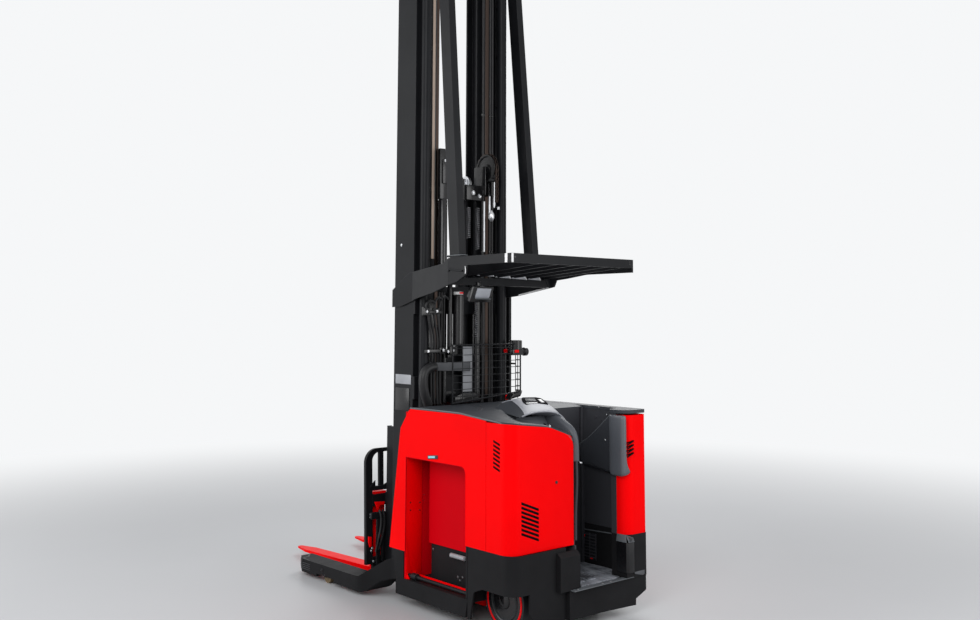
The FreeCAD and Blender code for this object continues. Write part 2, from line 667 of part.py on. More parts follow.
def display():
    """Flat display panel laid on the hood's slope."""
    rear, front = hood_sections[3], hood_sections[2]
    slope = (front[3] - rear[3]) / (front[0] - rear[0])
    middle_lift = 1.0
    rear_z = rear[3] + middle_lift + slope * (display_rear_x - rear[0])
    front_z = rear[3] + middle_lift + slope * (display_front_x - rear[0])
    outline = [(display_rear_x, rear_z), (display_front_x, front_z),
               (display_front_x, front_z + display_thickness), (display_rear_x, rear_z + display_thickness)]
    return prism(outline, "Y", (display_y - display_width / 2, display_y + display_width / 2))


def tiller():
    """Steering disc on its stem, with the finger knob."""
    z = bowl_floor_z
    stem = cylinder(tiller_stem_radius, (tiller_x, tiller_y, z + fit), "Z", tiller_stem_height)
    disc = cylinder(tiller_radius, (tiller_x, tiller_y, z + tiller_stem_height), "Z", tiller_thickness)
    knob_z = z + tiller_stem_height + tiller_thickness
    knob = cylinder(tiller_knob_radius, (tiller_x, tiller_y - tiller_knob_y, knob_z), "Z", tiller_knob_height)
    return fused(stem, disc, knob)


def battery_case():
    x = bay_rear_x + battery_rear_gap
    z = bay_floor_z + battery_lift
    return box((x, x + battery_length), (-battery_width / 2, battery_width / 2), (z, z + battery_height))


def battery_tray():
    x = bay_rear_x + battery_rear_gap
    half = battery_width / 2 - tray_inset
    return box((x + tray_inset, x + battery_length - tray_inset), (-half, half), (bay_floor_z, bay_floor_z + battery_lift))


def gate_bar():
    """Left battery gate: a round bar across the opening's foot, with its bushing."""
    bar = cylinder(gate_radius, (bay_rear_x, gate_y, gate_z), "X", bay_front_x - bay_rear_x)
    bush = cylinder(gate_bush_radius, (gate_bush_x, gate_y, gate_z), "X", gate_bush_length)
    return fused(bar, bush)


# --- drive wheel and caster
def drive_motor():
    """Drive motor and its deck plate, one plain block over the wheel."""
    plate = box((skirt_rear_x + cover_corner_r, step_depth()), (step_left_y + 14, half_width - skirt_sheet),
                (drive_deck_z, drive_deck_z + 16))
    motor = cylinder(motor_radius, (drive_x, drive_y, drive_deck_z + 16), "Z", motor_height)
    return fused(plate, motor)


def drive_yoke():
    """Turntable and gearcase that carry the drive wheel and steer it."""
    top = drive_deck_z - fit
    plate = cylinder(turntable_radius, (drive_x, drive_y, top - turntable_thickness), "Z", turntable_thickness)
    inner_y = drive_y - drive_width / 2 - yoke_clear
    case = prism([(drive_x - 105, top - turntable_thickness), (drive_x + 105, top - turntable_thickness),
                  (drive_x + 80, 90, 60), (drive_x - 80, 90, 60)], "Y", (inner_y - gearcase_thickness, inner_y))
    shelf = box((drive_x - 80, drive_x + 80), (inner_y - gearcase_thickness, drive_y),
                (top - turntable_thickness, top))
    axle = cylinder(drive_axle_radius, (drive_x, inner_y, drive_radius), "Y", yoke_clear + drive_width - 40)
    return fused(plate, case, shelf, axle)


def drive_wheel():
    """Polyurethane tyre on a dished steel hub, bored for the axle."""
    y0 = drive_y - drive_width / 2
    tyre = cylinder(drive_radius, (drive_x, y0, drive_radius), "Y", drive_width)
    dish = cylinder(drive_rim_radius - 14, (drive_x, y0 + drive_width - 28, drive_radius), "Y", 28 + 1)
    bore = cylinder(drive_axle_radius + fit, (drive_x, y0 - 1, drive_radius), "Y", drive_width - 40 + 1 + 2)
    return tyre.cut([dish, bore])


def caster_yoke():
    """Swivel plate and fork of the right rear caster."""
    top = step_top_z - step_sheet - fit
    plate = cylinder(caster_plate_radius, (caster_x, caster_y, top - caster_plate_thickness), "Z", caster_plate_thickness)
    axle_x = caster_x + caster_trail
    legs = []
    for y in (caster_y - caster_width / 2 - play - caster_fork_thickness, caster_y + caster_width / 2 + play):
        legs.append(prism([(caster_x - 40, top - caster_plate_thickness), (caster_x + 40, top - caster_plate_thickness),
                           (axle_x + 24, caster_radius - 18, 18), (axle_x - 24, caster_radius - 18, 18)],
                          "Y", (y, y + caster_fork_thickness)))
    crown = box((caster_x - 40, caster_x + 40),
                (caster_y - caster_width / 2 - play - caster_fork_thickness, caster_y + caster_width / 2 + play + caster_fork_thickness),
                (top - caster_plate_thickness - 10, top - caster_plate_thickness))
    axle = cylinder(caster_axle_radius, (axle_x, caster_y - caster_width / 2 - play, caster_radius), "Y", caster_width + 2 * play)
    return fused(plate, crown, *legs, axle)


def caster_wheel():
    y0 = caster_y - caster_width / 2
    x = caster_x + caster_trail
    wheel = cylinder(caster_radius, (x, y0, caster_radius), "Y", caster_width)
    return wheel.cut(cylinder(caster_axle_radius + fit, (x, y0 - 1, caster_radius), "Y", caster_width + 2))


# --- base legs
def leg():
    """Left base leg: gooseneck from the frame, then a low beam with the load wheel near its tip."""
    leg_root_x = bay_front_x + wall
    side = [(leg_root_x, leg_root_low_z), (leg_bend_x - 150, 110, 120), (leg_bend_x - 40, leg_low_z, 60),
            (notch_rear_x, leg_low_z), (notch_rear_x, notch_z), (notch_front_x, notch_z), (notch_front_x, leg_low_z),
            (leg_tip_x, leg_low_z, 8), (leg_tip_x, leg_tip_top_z, 12), (leg_bend_x, leg_bend_top_z, 90),
            (leg_bend_x - 190, leg_root_top_z - 30, 160), (leg_root_x, leg_root_top_z)]
    outer = leg_inner_y + leg_width
    root_outer = half_width - sill_thickness
    plan = [(leg_root_x, outer_y), (leg_bend_x - 60, outer_y), (leg_bend_x + 40, leg_inner_y),
            (leg_tip_x + 10, leg_inner_y), (leg_tip_x + 10, outer - 60, 10), (leg_tip_x - 110, outer, 20),
            (leg_bend_x, outer, 120), (toe_x + 5, root_outer, 60), (leg_root_x, root_outer)]
    body = prism(side, "Y", (outer_y - 10, outer + 10)).common(prism(plan, "Z", (0, leg_root_top_z + 50)))
    y = leg_inner_y + leg_width / 2
    room = box((load_wheel_x - load_wheel_radius - wheel_room, load_wheel_x + load_wheel_radius + wheel_room),
               (y - load_wheel_width / 2 - wheel_room, y + load_wheel_width / 2 + wheel_room),
               (-1, 2 * load_wheel_radius + wheel_room))
    axle = cylinder(load_axle_radius, (load_wheel_x, y - load_wheel_width / 2 - wheel_room - 4, load_wheel_radius), "Y",
                    load_wheel_width + 2 * wheel_room + 8)
    return fused(body.cut(room), axle)


def load_wheel():
    y0 = leg_inner_y + leg_width / 2 - load_wheel_width / 2
    wheel = cylinder(load_wheel_radius, (load_wheel_x, y0, load_wheel_radius), "Y", load_wheel_width)
    return wheel.cut(cylinder(load_axle_radius + fit, (load_wheel_x, y0 - 1, load_wheel_radius), "Y", load_wheel_width + 2))


# --- mast
middle_rear_x = outer_rear_x + outer_flange + play
middle_front_x = outer_front_x - outer_flange - play
inner_rear_x = middle_rear_x + middle_flange + play
inner_front_x = middle_front_x - middle_flange - play
outer_tip_y = outer_y - outer_reach
middle_web_y = outer_tip_y - play - 1 - middle_web          # inner face of the middle rail's web
middle_tip_y = middle_web_y - middle_reach
inner_web_y = middle_tip_y - play - inner_web
inner_tip_y = inner_web_y - inner_reach
outer_room_y = outer_y - outer_web - play                   # reach of the middle rail's outer flanges
middle_room_y = middle_web_y - play                         # reach of the inner rail's outer flanges
nested_low_z = rail_low_z + rail_rise
nested_top_z = mast_top_z - rail_rise
rail_x = (outer_rear_x + outer_front_x) / 2
outer_gap = outer_front_x - outer_rear_x - 2 * outer_flange
middle_gap = middle_front_x - middle_rear_x - 2 * middle_flange
inner_gap = inner_front_x - inner_rear_x - 2 * inner_flange
end_clear = 190.0           # length without outer flanges where a rail carries its roller


def outer_rail():
    """Left outer rail, a channel open to the middle, with the roller at its top."""
    web = box((outer_rear_x, outer_front_x), (outer_y - outer_web, outer_y), (rail_low_z, mast_top_z))
    flanges = [
        box((x, x + outer_flange), (outer_tip_y, outer_y - outer_web), (rail_low_z, mast_top_z))
        for x in (outer_rear_x, outer_front_x - outer_flange)
    ]
    top = mast_top_z - rail_rise - middle_gap / 2
    roller = cylinder(middle_gap / 2 - fit, (rail_x, outer_room_y - roller_width + play, top), "Y", roller_width)
    return fused(web, *flanges, roller)


def nested_rail(web_y, web, tip_y, room_y, rear_x, front_x, flange, gap_outside, gap_inside, low, top):
    """Left nested rail, an I-section. Its foot has the roller that runs in the rail outside it, and
    its head the roller for the rail inside it."""
    section = box((rear_x, front_x), (web_y, web_y + web), (low, top))
    outside = [
        box((x, x + flange), (web_y + web, room_y), (low + end_clear, top))
        for x in (rear_x, front_x - flange)
    ]
    inside = [
        box((x, x + flange), (tip_y, web_y), (low, top))
        for x in (rear_x, front_x - flange)
    ]
    foot = cylinder(gap_outside / 2 - fit, (rail_x, web_y + web, low + end_clear / 2), "Y", room_y - web_y - web)
    rail = fused(section, *outside, *inside, foot)
    if gap_inside is None:
        return rail
    head_z = top - rail_rise - gap_inside / 2
    head = cylinder(gap_inside / 2 - fit, (rail_x, web_y - roller_width, head_z), "Y", roller_width)
    return fused(rail, head)


def middle_rail():
    return nested_rail(middle_web_y, middle_web, middle_tip_y, outer_room_y, middle_rear_x, middle_front_x,
                       middle_flange, outer_gap, inner_gap, nested_low_z, nested_top_z)


def inner_rail():
    return nested_rail(inner_web_y, inner_web, inner_tip_y, middle_room_y, inner_rear_x, inner_front_x,
                       inner_flange, middle_gap, None, nested_low_z + rail_rise, nested_top_z - rail_rise)


def outer_ties():
    return [box((tie_rear_x, outer_rear_x), (-outer_y, outer_y), (z, z + tie_height)) for z in outer_tie_levels]


def nested_ties(rail_rear_x, half):
    """Cross plates on the rear flanges of a nested pair of rails."""
    return [
        box((rail_rear_x - nested_tie_thickness, rail_rear_x), (-half, half), (z, z + tie_height))
        for z in nested_tie_levels
    ]


tie_rear_x = outer_rear_x - tie_thickness
barrel_x = tie_rear_x - barrel_radius - fit


def barrel_hole(bore, rod_r, foot, top_z):
    """Hollow of an upright cylinder's barrel, with the gland that guides the rod at its top."""
    x, y, z = foot
    wide = cylinder(bore, (x, y, z + 40), "Z", top_z - gland - z - 40)
    return wide.fuse(cylinder(rod_r + fit, (x, y, z + 40), "Z", top_z - z))


def lift_barrel():
    """Left main lift cylinder, standing on the mast's foot behind the outer rail."""
    tube = cylinder(barrel_radius, (barrel_x, barrel_y, barrel_low_z), "Z", barrel_top_z - barrel_low_z)
    bore = barrel_hole(barrel_bore, rod_radius, (barrel_x, barrel_y, barrel_low_z), barrel_top_z)
    return tube.cut(bore)


def lift_rod():
    """Left lift rod and the bracket that ties it to the middle rails' top plate."""
    top = nested_tie_levels[-1] + tie_height
    shaft = cylinder(rod_radius, (barrel_x, barrel_y, barrel_low_z + 60), "Z", top - barrel_low_z - 60)
    behind = outer_rear_x - play
    neck_y = outer_tip_y - play
    rear = barrel_x - barrel_radius
    plan = [(rear, neck_y - 60), (middle_rear_x - 2, neck_y - 60), (middle_rear_x - 2, neck_y), (behind, neck_y),
            (behind, barrel_y + barrel_radius), (rear, barrel_y + barrel_radius)]
    return fused(prism(plan, "Z", (top, top + 24)), shaft)


def free_barrel():
    """Free lift cylinder on its foot and strap, carried by the inner rails' ties."""
    foot = box((inner_rear_x, free_x + free_barrel_radius), (free_y - 50, free_y + 50),
               (free_barrel_low_z - 20, free_barrel_low_z))
    strap = box((inner_rear_x, free_x - free_bore - 2), (free_y - 30, free_y + 30),
                (nested_tie_levels[2] + 20, nested_tie_levels[2] + 80))
    tube = cylinder(free_barrel_radius, (free_x, free_y, free_barrel_low_z), "Z", free_barrel_top_z - free_barrel_low_z)
    bore = barrel_hole(free_bore, free_rod_radius, (free_x, free_y, free_barrel_low_z), free_barrel_top_z)
    return fused(foot, tube, strap).cut(bore)


def free_head():
    """Free lift rod with its crosshead and the two chain sheaves."""
    low = free_barrel_low_z + 60
    stem = cylinder(free_rod_radius, (free_x, free_y, low), "Z", free_barrel_top_z + 70 - low)
    z = free_barrel_top_z + 70
    yoke_half = sheave_y - sheave_width / 2 - 3
    yoke = box((free_x - 30, free_x + 30), (free_y - yoke_half, free_y + yoke_half), (z - 30, z + 90))
    pin = cylinder(14.0, (free_x, free_y - sheave_y - sheave_width / 2, z + 60), "Y", 2 * sheave_y + sheave_width)
    sheaves = [
        cylinder(sheave_radius, (free_x, free_y + side * sheave_y - sheave_width / 2, z + 60), "Y", sheave_width)
        for side in (-1, 1)
    ]
    return fused(yoke, stem, pin, *sheaves)


# --- carriage and scissor reach
guide_half = guide_roller_radius + fit + guide_flange
carriage_plate_x = pivot_x - guide_half
rest_angle = math.asin(arm_offset / arm_length)
arm_rise = arm_length * math.cos(rest_angle)
front_pivot_x = pivot_x + arm_offset


def guide(x):
    """Left upright channel that a scissor arm's roller runs in."""
    z = (carriage_low_z, carriage_top_z)
    web = box((x - guide_half, x + guide_half), (guide_y, guide_y + guide_web), z)
    flanges = [
        box((low, low + guide_flange), (guide_y - guide_roller_width, guide_y), z)
        for low in (x - guide_half, x + guide_half - guide_flange)
    ]
    return fused(web, *flanges)


def arm_pin(x, inner_y):
    """Left fixed pivot pin, from its guide's web to the inner face of the arm that it carries."""
    return cylinder(pin_radius, (x, inner_y, pivot_z), "Y", guide_y - inner_y)


def carriage():
    """Mast carriage: side plates with rollers in the inner rails, front plate, guides and pivot pins."""
    plate = box((carriage_plate_x - 10, carriage_plate_x), (-guide_y - guide_web, guide_y + guide_web),
                (carriage_low_z, carriage_top_z))
    halves = []
    for z in (carriage_low_z + 70, carriage_low_z + 560):
        halves += both(cylinder(inner_gap / 2 - fit, (rail_x, side_plate_y, z), "Y", inner_web_y - play - side_plate_y))
    side = box((inner_rear_x + inner_flange + 4, carriage_plate_x - 10), (side_plate_y - side_plate_thickness, side_plate_y),
               (carriage_low_z, carriage_top_z))
    halves += both(side)
    halves += both(guide(pivot_x))
    halves += both(arm_pin(pivot_x, outer_arm_y - arm_plate / 2))
    return fused(plate, *halves)


def arm(x, y, lean):
    """One scissor arm plate on the left, from its fixed pivot up to its roller; lean is +1 forward or -1
    rearward."""
    half = arm_width / 2
    ends = [cylinder(half, (x, y - arm_plate / 2, pivot_z + z), "Y", arm_plate) for z in (0, arm_length)]
    plate = box((x - half, x + half), (y - arm_plate / 2, y + arm_plate / 2), (pivot_z, pivot_z + arm_length))
    stub = cylinder(guide_roller_radius / 2, (x, y, pivot_z + arm_length), "Y", guide_y - guide_roller_width - y)
    roller = cylinder(guide_roller_radius, (x, guide_y - guide_roller_width, pivot_z + arm_length), "Y",
                      guide_roller_width - fit)
    shape = fused(plate, *ends, stub, roller)
    shape = shape.cut(cylinder(pin_radius + fit, (x, y - arm_plate, pivot_z), "Y", 2 * arm_plate))
    return turned(shape, (x, 0, pivot_z), (0, 1, 0), lean * math.degrees(rest_angle))


def centre_pin(radius, half):
    return cylinder(radius, ((pivot_x + front_pivot_x) / 2, -half, pivot_z + arm_rise / 2), "Y", 2 * half)


def rear_arms():
    """Outer arms, pinned to the mast carriage and joined by the shaft at the scissor's centre."""
    return fused(centre_pin(pin_radius, outer_arm_y), *both(arm(pivot_x, outer_arm_y, 1)))


def front_arms():
    """Inner arms, pinned to the reach frame and joined by a cross tube."""
    arms = [s.cut(centre_pin(pin_radius + fit, outer_arm_y)) for s in both(arm(front_pivot_x, inner_arm_y, -1))]
    z = pivot_z + 130 * math.cos(rest_angle)
    x = front_pivot_x - 130 * math.sin(rest_angle)
    tube = cylinder(24.0, (x, -inner_arm_y, z), "Y", 2 * inner_arm_y)
    return fused(tube, *arms)


def reach_frame():
    """Frame that the scissor pushes forward, with the pivot lugs of the tilting frame."""
    x = front_pivot_x + guide_half
    plate = box((x, x + reach_plate), (-guide_y - guide_web, guide_y + guide_web), (carriage_low_z, reach_plate_top_z))
    halves = both(guide(front_pivot_x)) + both(arm_pin(front_pivot_x, inner_arm_y - arm_plate / 2))
    lug = fused(box((x + reach_plate, tilt_x), (tilt_lug_y, tilt_lug_y + tilt_lug_thickness),
                    (tilt_z - tilt_lug_radius, tilt_z + tilt_lug_radius)),
                cylinder(tilt_lug_radius - 3, (tilt_x, tilt_lug_y, tilt_z), "Y", tilt_lug_thickness))
    pin = cylinder(tilt_pin_radius, (tilt_x, tilt_lug_y, tilt_z), "Y", 2 * tilt_lug_thickness + play)
    halves += both(fused(lug, pin))
    return fused(plate, *halves)


def leaned(shape):
    """A shape of the tilting frame, leaned forward to its rest angle."""
    return turned(shape, (tilt_x, 0, tilt_z), (0, 1, 0), tilt_rest)


def tilt_frame():
    """Plate that hangs on the tilt pivots and carries the side-shifting fork frame."""
    plate = box((tilt_plate_x, tilt_plate_x + tilt_plate), (-tilt_plate_half, tilt_plate_half),
                (tilt_plate_low_z, tilt_plate_top_z))
    y = tilt_lug_y + tilt_lug_thickness + play
    eye = fused(box((tilt_x, tilt_plate_x), (y, y + tilt_lug_thickness), (tilt_z - tilt_lug_radius, tilt_z + tilt_lug_radius)),
                cylinder(tilt_lug_radius, (tilt_x, y, tilt_z), "Y", tilt_lug_thickness))
    eye = eye.cut(cylinder(tilt_pin_radius + fit, (tilt_x, y - 1, tilt_z), "Y", tilt_lug_thickness + 2))
    return leaned(fused(plate, *both(eye)))


bar_x = tilt_plate_x + tilt_plate + fit
shank_x = bar_x + bar_thickness + fit


def shifted(shape):
    """A shape on the fork frame, moved to the side shift's rest place and leaned."""
    return leaned(moved(shape, y=shift_rest))


def fork_frame():
    half = backrest_half - backrest_post
    bars = [box((bar_x, bar_x + bar_thickness), (-half, half), (z, z + bar_height)) for z in (high_bar_z, low_bar_z)]
    uprights = both(box((bar_x, bar_x + bar_thickness), (110, 160), (low_bar_z + bar_height, high_bar_z)))
    top_hook = box((tilt_plate_x - 6, bar_x), (-140, 140), (tilt_plate_top_z + fit, high_bar_z + bar_height))
    low_hook = box((tilt_plate_x, bar_x), (-140, 140), (low_bar_z, tilt_plate_low_z - fit))
    return shifted(fused(*bars, *uprights, top_hook, low_hook))


def fork(side):
    """One fork; side is +1 left or -1 right."""
    low_z = fork_top_z - fork_thickness
    face_x = shank_x + fork_thickness
    tip_x = face_x + fork_length
    top_z = high_bar_z + bar_height
    outline = [(shank_x, top_z + fork_hook + fit), (shank_x, low_z, 26), (face_x + 200, low_z),
               (tip_x, fork_top_z - fork_tip_thickness), (tip_x, fork_top_z), (face_x, fork_top_z, 10),
               (face_x, top_z + fork_hook + fit)]
    half = fork_width / 2
    body = prism(outline, "Y", (-half, half))
    plan = [(0, -half), (tip_x - 170, -half), (tip_x, -half * 0.35, 20), (tip_x, half * 0.35, 20), (tip_x - 170, half), (0, half)]
    body = body.common(prism(plan, "Z", (0, top_z + 100)))
    hook = box((bar_x + 2, shank_x), (-half, half), (top_z + fit, top_z + fork_hook + fit))
    foot = box((bar_x + 2, shank_x), (-half, half), (low_bar_z - fork_hook, low_bar_z - fit))
    return shifted(moved(fused(body, hook, foot), y=side * fork_spread))


def backrest():
    """Load backrest: a rounded frame with upright bars over a cross rail."""
    x = (bar_x, bar_x + backrest_depth)
    inside = backrest_half - backrest_post
    rim = prism([(-backrest_half, backrest_low_z), (backrest_half, backrest_low_z),
                 (backrest_half, backrest_top_z, backrest_corner_r), (-backrest_half, backrest_top_z, backrest_corner_r)], "X", x)
    window = prism([(-inside, backrest_low_z - 1), (inside, backrest_low_z - 1),
                    (inside, backrest_top_z - backrest_rim, backrest_corner_r - 35),
                    (-inside, backrest_top_z - backrest_rim, backrest_corner_r - 35)], "X", (x[0] - 1, x[1] + 1))
    rail = box(x, (-inside, inside), (backrest_mid_z, backrest_mid_z + backrest_mid_height))
    bars = [
        box((x[0] + 4, x[1] - 4), (n * backrest_pitch - backrest_bar / 2, n * backrest_pitch + backrest_bar / 2),
            (backrest_mid_z, backrest_top_z - 5))
        for n in (-2, -1, 0, 1, 2)
    ]
    return shifted(fused(rim.cut(window), rail, *bars))


# --- overhead guard
def guard_top_edge():
    return [(guard_rear_x, guard_top_z), (guard_knee_x, guard_top_z, 200), (guard_shoulder_x, guard_shoulder_z, 60),
            (guard_arm_x, guard_arm_top_z, 150), (guard_front_x, guard_front_top_z)]


def guard_inner_y(x):
    """Half the width between the guard plates, which close in towards the mast ahead of their knees."""
    inner = guard_half - guard_plate
    share = max(0.0, (x - guard_knee_x) / (outer_rear_x - guard_knee_x))
    return inner - share * (inner - outer_y)


def guard_plate_side(low_edge):
    """Left guard plate over a lower edge: level over the operator, then down and in to the mast rail."""
    outline = low_edge[:1] + guard_top_edge() + low_edge[:0:-1]
    inner = guard_half - guard_plate
    root = outer_y
    plan = [(guard_rear_x, guard_half), (guard_knee_x, guard_half), (outer_rear_x, root + guard_plate),
            (guard_front_x, root + guard_plate), (guard_front_x, root), (outer_rear_x, root), (guard_knee_x, inner),
            (guard_rear_x, inner)]
    return prism(outline, "Y", (root - 1, guard_half + 1)).common(prism(plan, "Z", (guard_front_low_z, guard_top_z)))


def guard_sides():
    """Left plate, and the right one with its deeper front part."""
    left = [(guard_rear_x, guard_rear_low_z), (guard_gusset_x, guard_rear_low_z),
            (guard_gusset_x + guard_plate, guard_gusset_z), *guard_arm_low_edge, (guard_front_x, guard_front_low_z)]
    right = [(guard_rear_x, guard_right_low_z), (guard_mid_x, guard_right_low_z, 400),
             (guard_skirt_x - 20, guard_knee_low_z - 20), (guard_skirt_x, guard_skirt_low_z),
             (guard_skirt_front_x, guard_skirt_front_z, 200), (guard_front_x, guard_front_low_z + 40)]
    return [guard_plate_side(left), mirrored(guard_plate_side(right))]


def guard_rear():
    return box((guard_rear_x, guard_rear_x + guard_plate), (-guard_half + guard_plate, guard_half - guard_plate),
               (guard_rear_low_z, guard_top_z))


def slat(y):
    """One leaning roof slat, from the rear plate down to the cross beam."""
    ends = []
    for x, low_z in ((guard_rear_x + guard_plate, guard_rear_low_z), (beam_x + beam_depth, slat_low_z)):
        high_z = low_z + slat_height
        corners = [(y, low_z), (y + slat_thickness, low_z), (y + slat_thickness + slat_slope, high_z), (y + slat_slope, high_z)]
        points = [V(x, u, v) for u, v in corners]
        ends.append(Part.makePolygon(points + points[:1]))
    foot = box((beam_x, beam_x + beam_depth), (y, y + slat_thickness), (beam_top_z, slat_low_z + slat_thickness))
    return fused(Part.makeLoft(ends, True, True), foot)


def guard_bars():
    """Cross beam between the side plates, and the leaning slats that run down to it from the rear plate."""
    front_x = beam_x + beam_depth
    rear_y, front_y = guard_inner_y(beam_x), guard_inner_y(front_x)
    beam = prism([(beam_x, -rear_y), (front_x, -front_y), (front_x, front_y), (beam_x, rear_y)], "Z",
                 (beam_low_z, beam_top_z))
    return fused(beam, *(slat(slat_right_y + n * slat_pitch) for n in range(slat_count)))


def lamp():
    """Work lamp hanging behind the cross beam on its arm."""
    body = box((lamp_x, lamp_x + lamp_depth), (lamp_y - lamp_width / 2, lamp_y + lamp_width / 2),
               (lamp_z, lamp_z + lamp_height))
    hanger = box((lamp_x + 20, lamp_x + 32), (lamp_y - 12, lamp_y + 12), (lamp_z + 30, beam_low_z + 12))
    arm = box((lamp_x + 20, beam_x), (lamp_y - 12, lamp_y + 12), (beam_low_z, beam_low_z + 12))
    return fused(body, hanger, arm)


def strut(x, y, foot_z, lean):
    """Guard strut leaning forward from the side plate, with its bracket on the outer rail's side."""
    top_x = x + (strut_top_z - foot_z) * lean
    side_view = [(x, foot_z), (x + strut_length, foot_z), (top_x + strut_length, strut_top_z), (top_x, strut_top_z)]
    post = prism(side_view, "Y", (y - strut_width / 2, y + strut_width / 2))
    under_guard = [(guard_rear_x - 1, 0), (guard_rear_x - 1, guard_top_z)] + guard_top_edge()[1:] + [(guard_front_x, 0)]
    below = prism(under_guard, "Y", (y - strut_width, y + strut_width))
    side = math.copysign(1, y)
    z = strut_top_z - strut_bracket_drop
    end_x = top_x + strut_length / 2
    plan = [(end_x, y + 20), (end_x, y - 20), (rail_x - 100, side * outer_y), (rail_x - 10, side * outer_y),
            (rail_x - 10, side * (outer_y + 30))]
    if side > 0:
        plan = [plan[1], plan[0], plan[4], plan[3], plan[2]]
    return fused(post.cut(below), prism(plan, "Z", (z, z + strut_bracket_height)))


def struts():
    return [
        strut(strut_left_x, strut_left_y, guard_top_z, strut_left_lean),
        strut(strut_right_x, strut_right_y, guard_front_low_z, strut_right_lean),
    ]


def deck_top_z(x):
    """Height of the level deck's upper face."""
    return shoulder_z + (peak_z - shoulder_z) * (x - shoulder_x) / (peak_x - shoulder_x) + deck_sheet


def mesh_guard():
    """Wire guard that stands on the deck in front of the mast's rear."""
    low_z = deck_top_z(mesh_x)
    frame = box((mesh_x, mesh_x + mesh_wire), (mesh_right_y, mesh_left_y), (low_z, mesh_top_z))
    frame = frame.cut(box((mesh_x - 1, mesh_x + mesh_wire + 1), (mesh_right_y + mesh_rail, mesh_left_y - mesh_rail),
                          (low_z + mesh_rail, mesh_top_z - mesh_rail)))
    wires = []
    y = mesh_right_y + mesh_rail + mesh_pitch
    while y < mesh_left_y - mesh_rail - mesh_wire:
        wires.append(box((mesh_x, mesh_x + mesh_wire), (y, y + mesh_wire), (low_z + 5, mesh_top_z - 5)))
        y += mesh_pitch
    return fused(frame, *wires)


def mast_chains():
    return both(box((tie_rear_x - chain_thickness, tie_rear_x), (chain_y, chain_y + chain_width), (outer_tie_levels[1], chain_top_z)))


def mast_hoses():
    x = tie_rear_x - hose_radius
    runs = [(y, left_hose_top_z) for y in left_hoses] + [(y, right_hose_top_z) for y in right_hoses]
    return [cylinder(hose_radius, (x, y, hose_low_z), "Z", top - hose_low_z) for y, top in runs]


parts = {}


def main():
    parts["frame"] = [fused(*frame_walls())]
    parts["bay_front_wall"] = [front_wall()]
    parts["sills"] = [sill(sill_rear_x), mirrored(sill(step_depth()))]
    parts["side_panel_left"] = [side_panel()]
    parts["side_panel_right"] = [right_shell()]
    parts["rear_cover"] = [rear_cover()]
    parts["rear_skirt"] = [rear_skirt()]
    parts["corner_block"] = [corner_block()]
    parts["step_block"] = [step_block()]
    parts["floor_mat"] = [floor_mat()]
    parts["entry_side"] = [entry_side()]
    parts["right_post"] = [right_post()]
    parts["lower_post"] = [lower_post()]
    parts["inner_wall"] = [inner_wall(), front_lining()]
    parts["rim_cap"] = [rim_cap()]
    parts["wall_pad"] = [wall_pad()]
    parts["deck"] = [deck()]
    parts["console_hood"] = [hood()]
    parts["display"] = [display()]
    parts["tiller"] = [tiller()]
    parts["battery_case"] = [battery_case()]
    parts["battery_tray"] = [battery_tray()]
    parts["gate_bar"] = [gate_bar()]
    parts["drive_motor"] = [drive_motor()]
    parts["drive_yoke"] = [drive_yoke()]
    parts["drive_wheel"] = [drive_wheel()]
    parts["caster_yoke"] = [caster_yoke()]
    parts["caster_wheel"] = [caster_wheel()]
    parts["base_legs"] = both(leg())
    parts["load_wheel_left"] = [load_wheel()]
    parts["load_wheel_right"] = [mirrored(load_wheel())]
    parts["outer_rails"] = both(outer_rail())
    parts["outer_ties"] = outer_ties()
    parts["middle_rails"] = both(middle_rail())
    parts["middle_ties"] = nested_ties(middle_rear_x, middle_web_y + middle_web)
    parts["inner_rails"] = both(inner_rail())
    parts["inner_ties"] = nested_ties(inner_rear_x, inner_web_y + inner_web)
    parts["lift_barrels"] = both(lift_barrel())
    parts["lift_rods"] = both(lift_rod())
    parts["free_barrel"] = [free_barrel()]
    parts["free_head"] = [free_head()]
    parts["carriage"] = [carriage()]
    parts["rear_arms"] = [rear_arms()]
    parts["front_arms"] = [front_arms()]
    parts["reach_frame"] = [reach_frame()]
    parts["tilt_frame"] = [tilt_frame()]
    parts["fork_frame"] = [fork_frame()]
    parts["backrest"] = [backrest()]
    parts["fork_left"] = [fork(1)]
    parts["fork_right"] = [fork(-1)]
    parts["guard_sides"] = guard_sides()
    parts["guard_rear"] = [guard_rear()]
    parts["guard_bars"] = [guard_bars()]
    parts["work_lamp"] = [lamp()]
    parts["struts"] = struts()
    parts["mesh_guard"] = [mesh_guard()]
    parts["mast_chains"] = mast_chains()
    parts["mast_hoses"] = mast_hoses()
    write()


def write():
    os.makedirs("parts", exist_ok=True)
    shapes = {name: Part.makeCompound(solids) for name, solids in parts.items()}
    whole = Part.makeCompound(list(shapes.values())).BoundBox
    origin_x = (whole.XMin + whole.XMax) / 2
    for name, shape in shapes.items():
        bad = [s for s in shape.Solids if not s.isValid()]
        shape.translate(V(-origin_x, 0, 0))
        shape.exportStep("parts/" + name + ".step")
        print(name, len(shape.Solids), "solids", "BAD" if bad or not shape.Solids else "")
    print("origin_x", origin_x, "size", whole.XLength, whole.YLength, whole.ZLength)


main()
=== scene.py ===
"""Stand-up reach truck: the finishes, fittings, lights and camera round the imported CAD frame."""

import json
import math

import bmesh
import bpy
from bpy.props import FloatProperty, FloatVectorProperty, PointerProperty
from bpy.types import Operator, Panel, PropertyGroup
from mathutils import Matrix, Vector


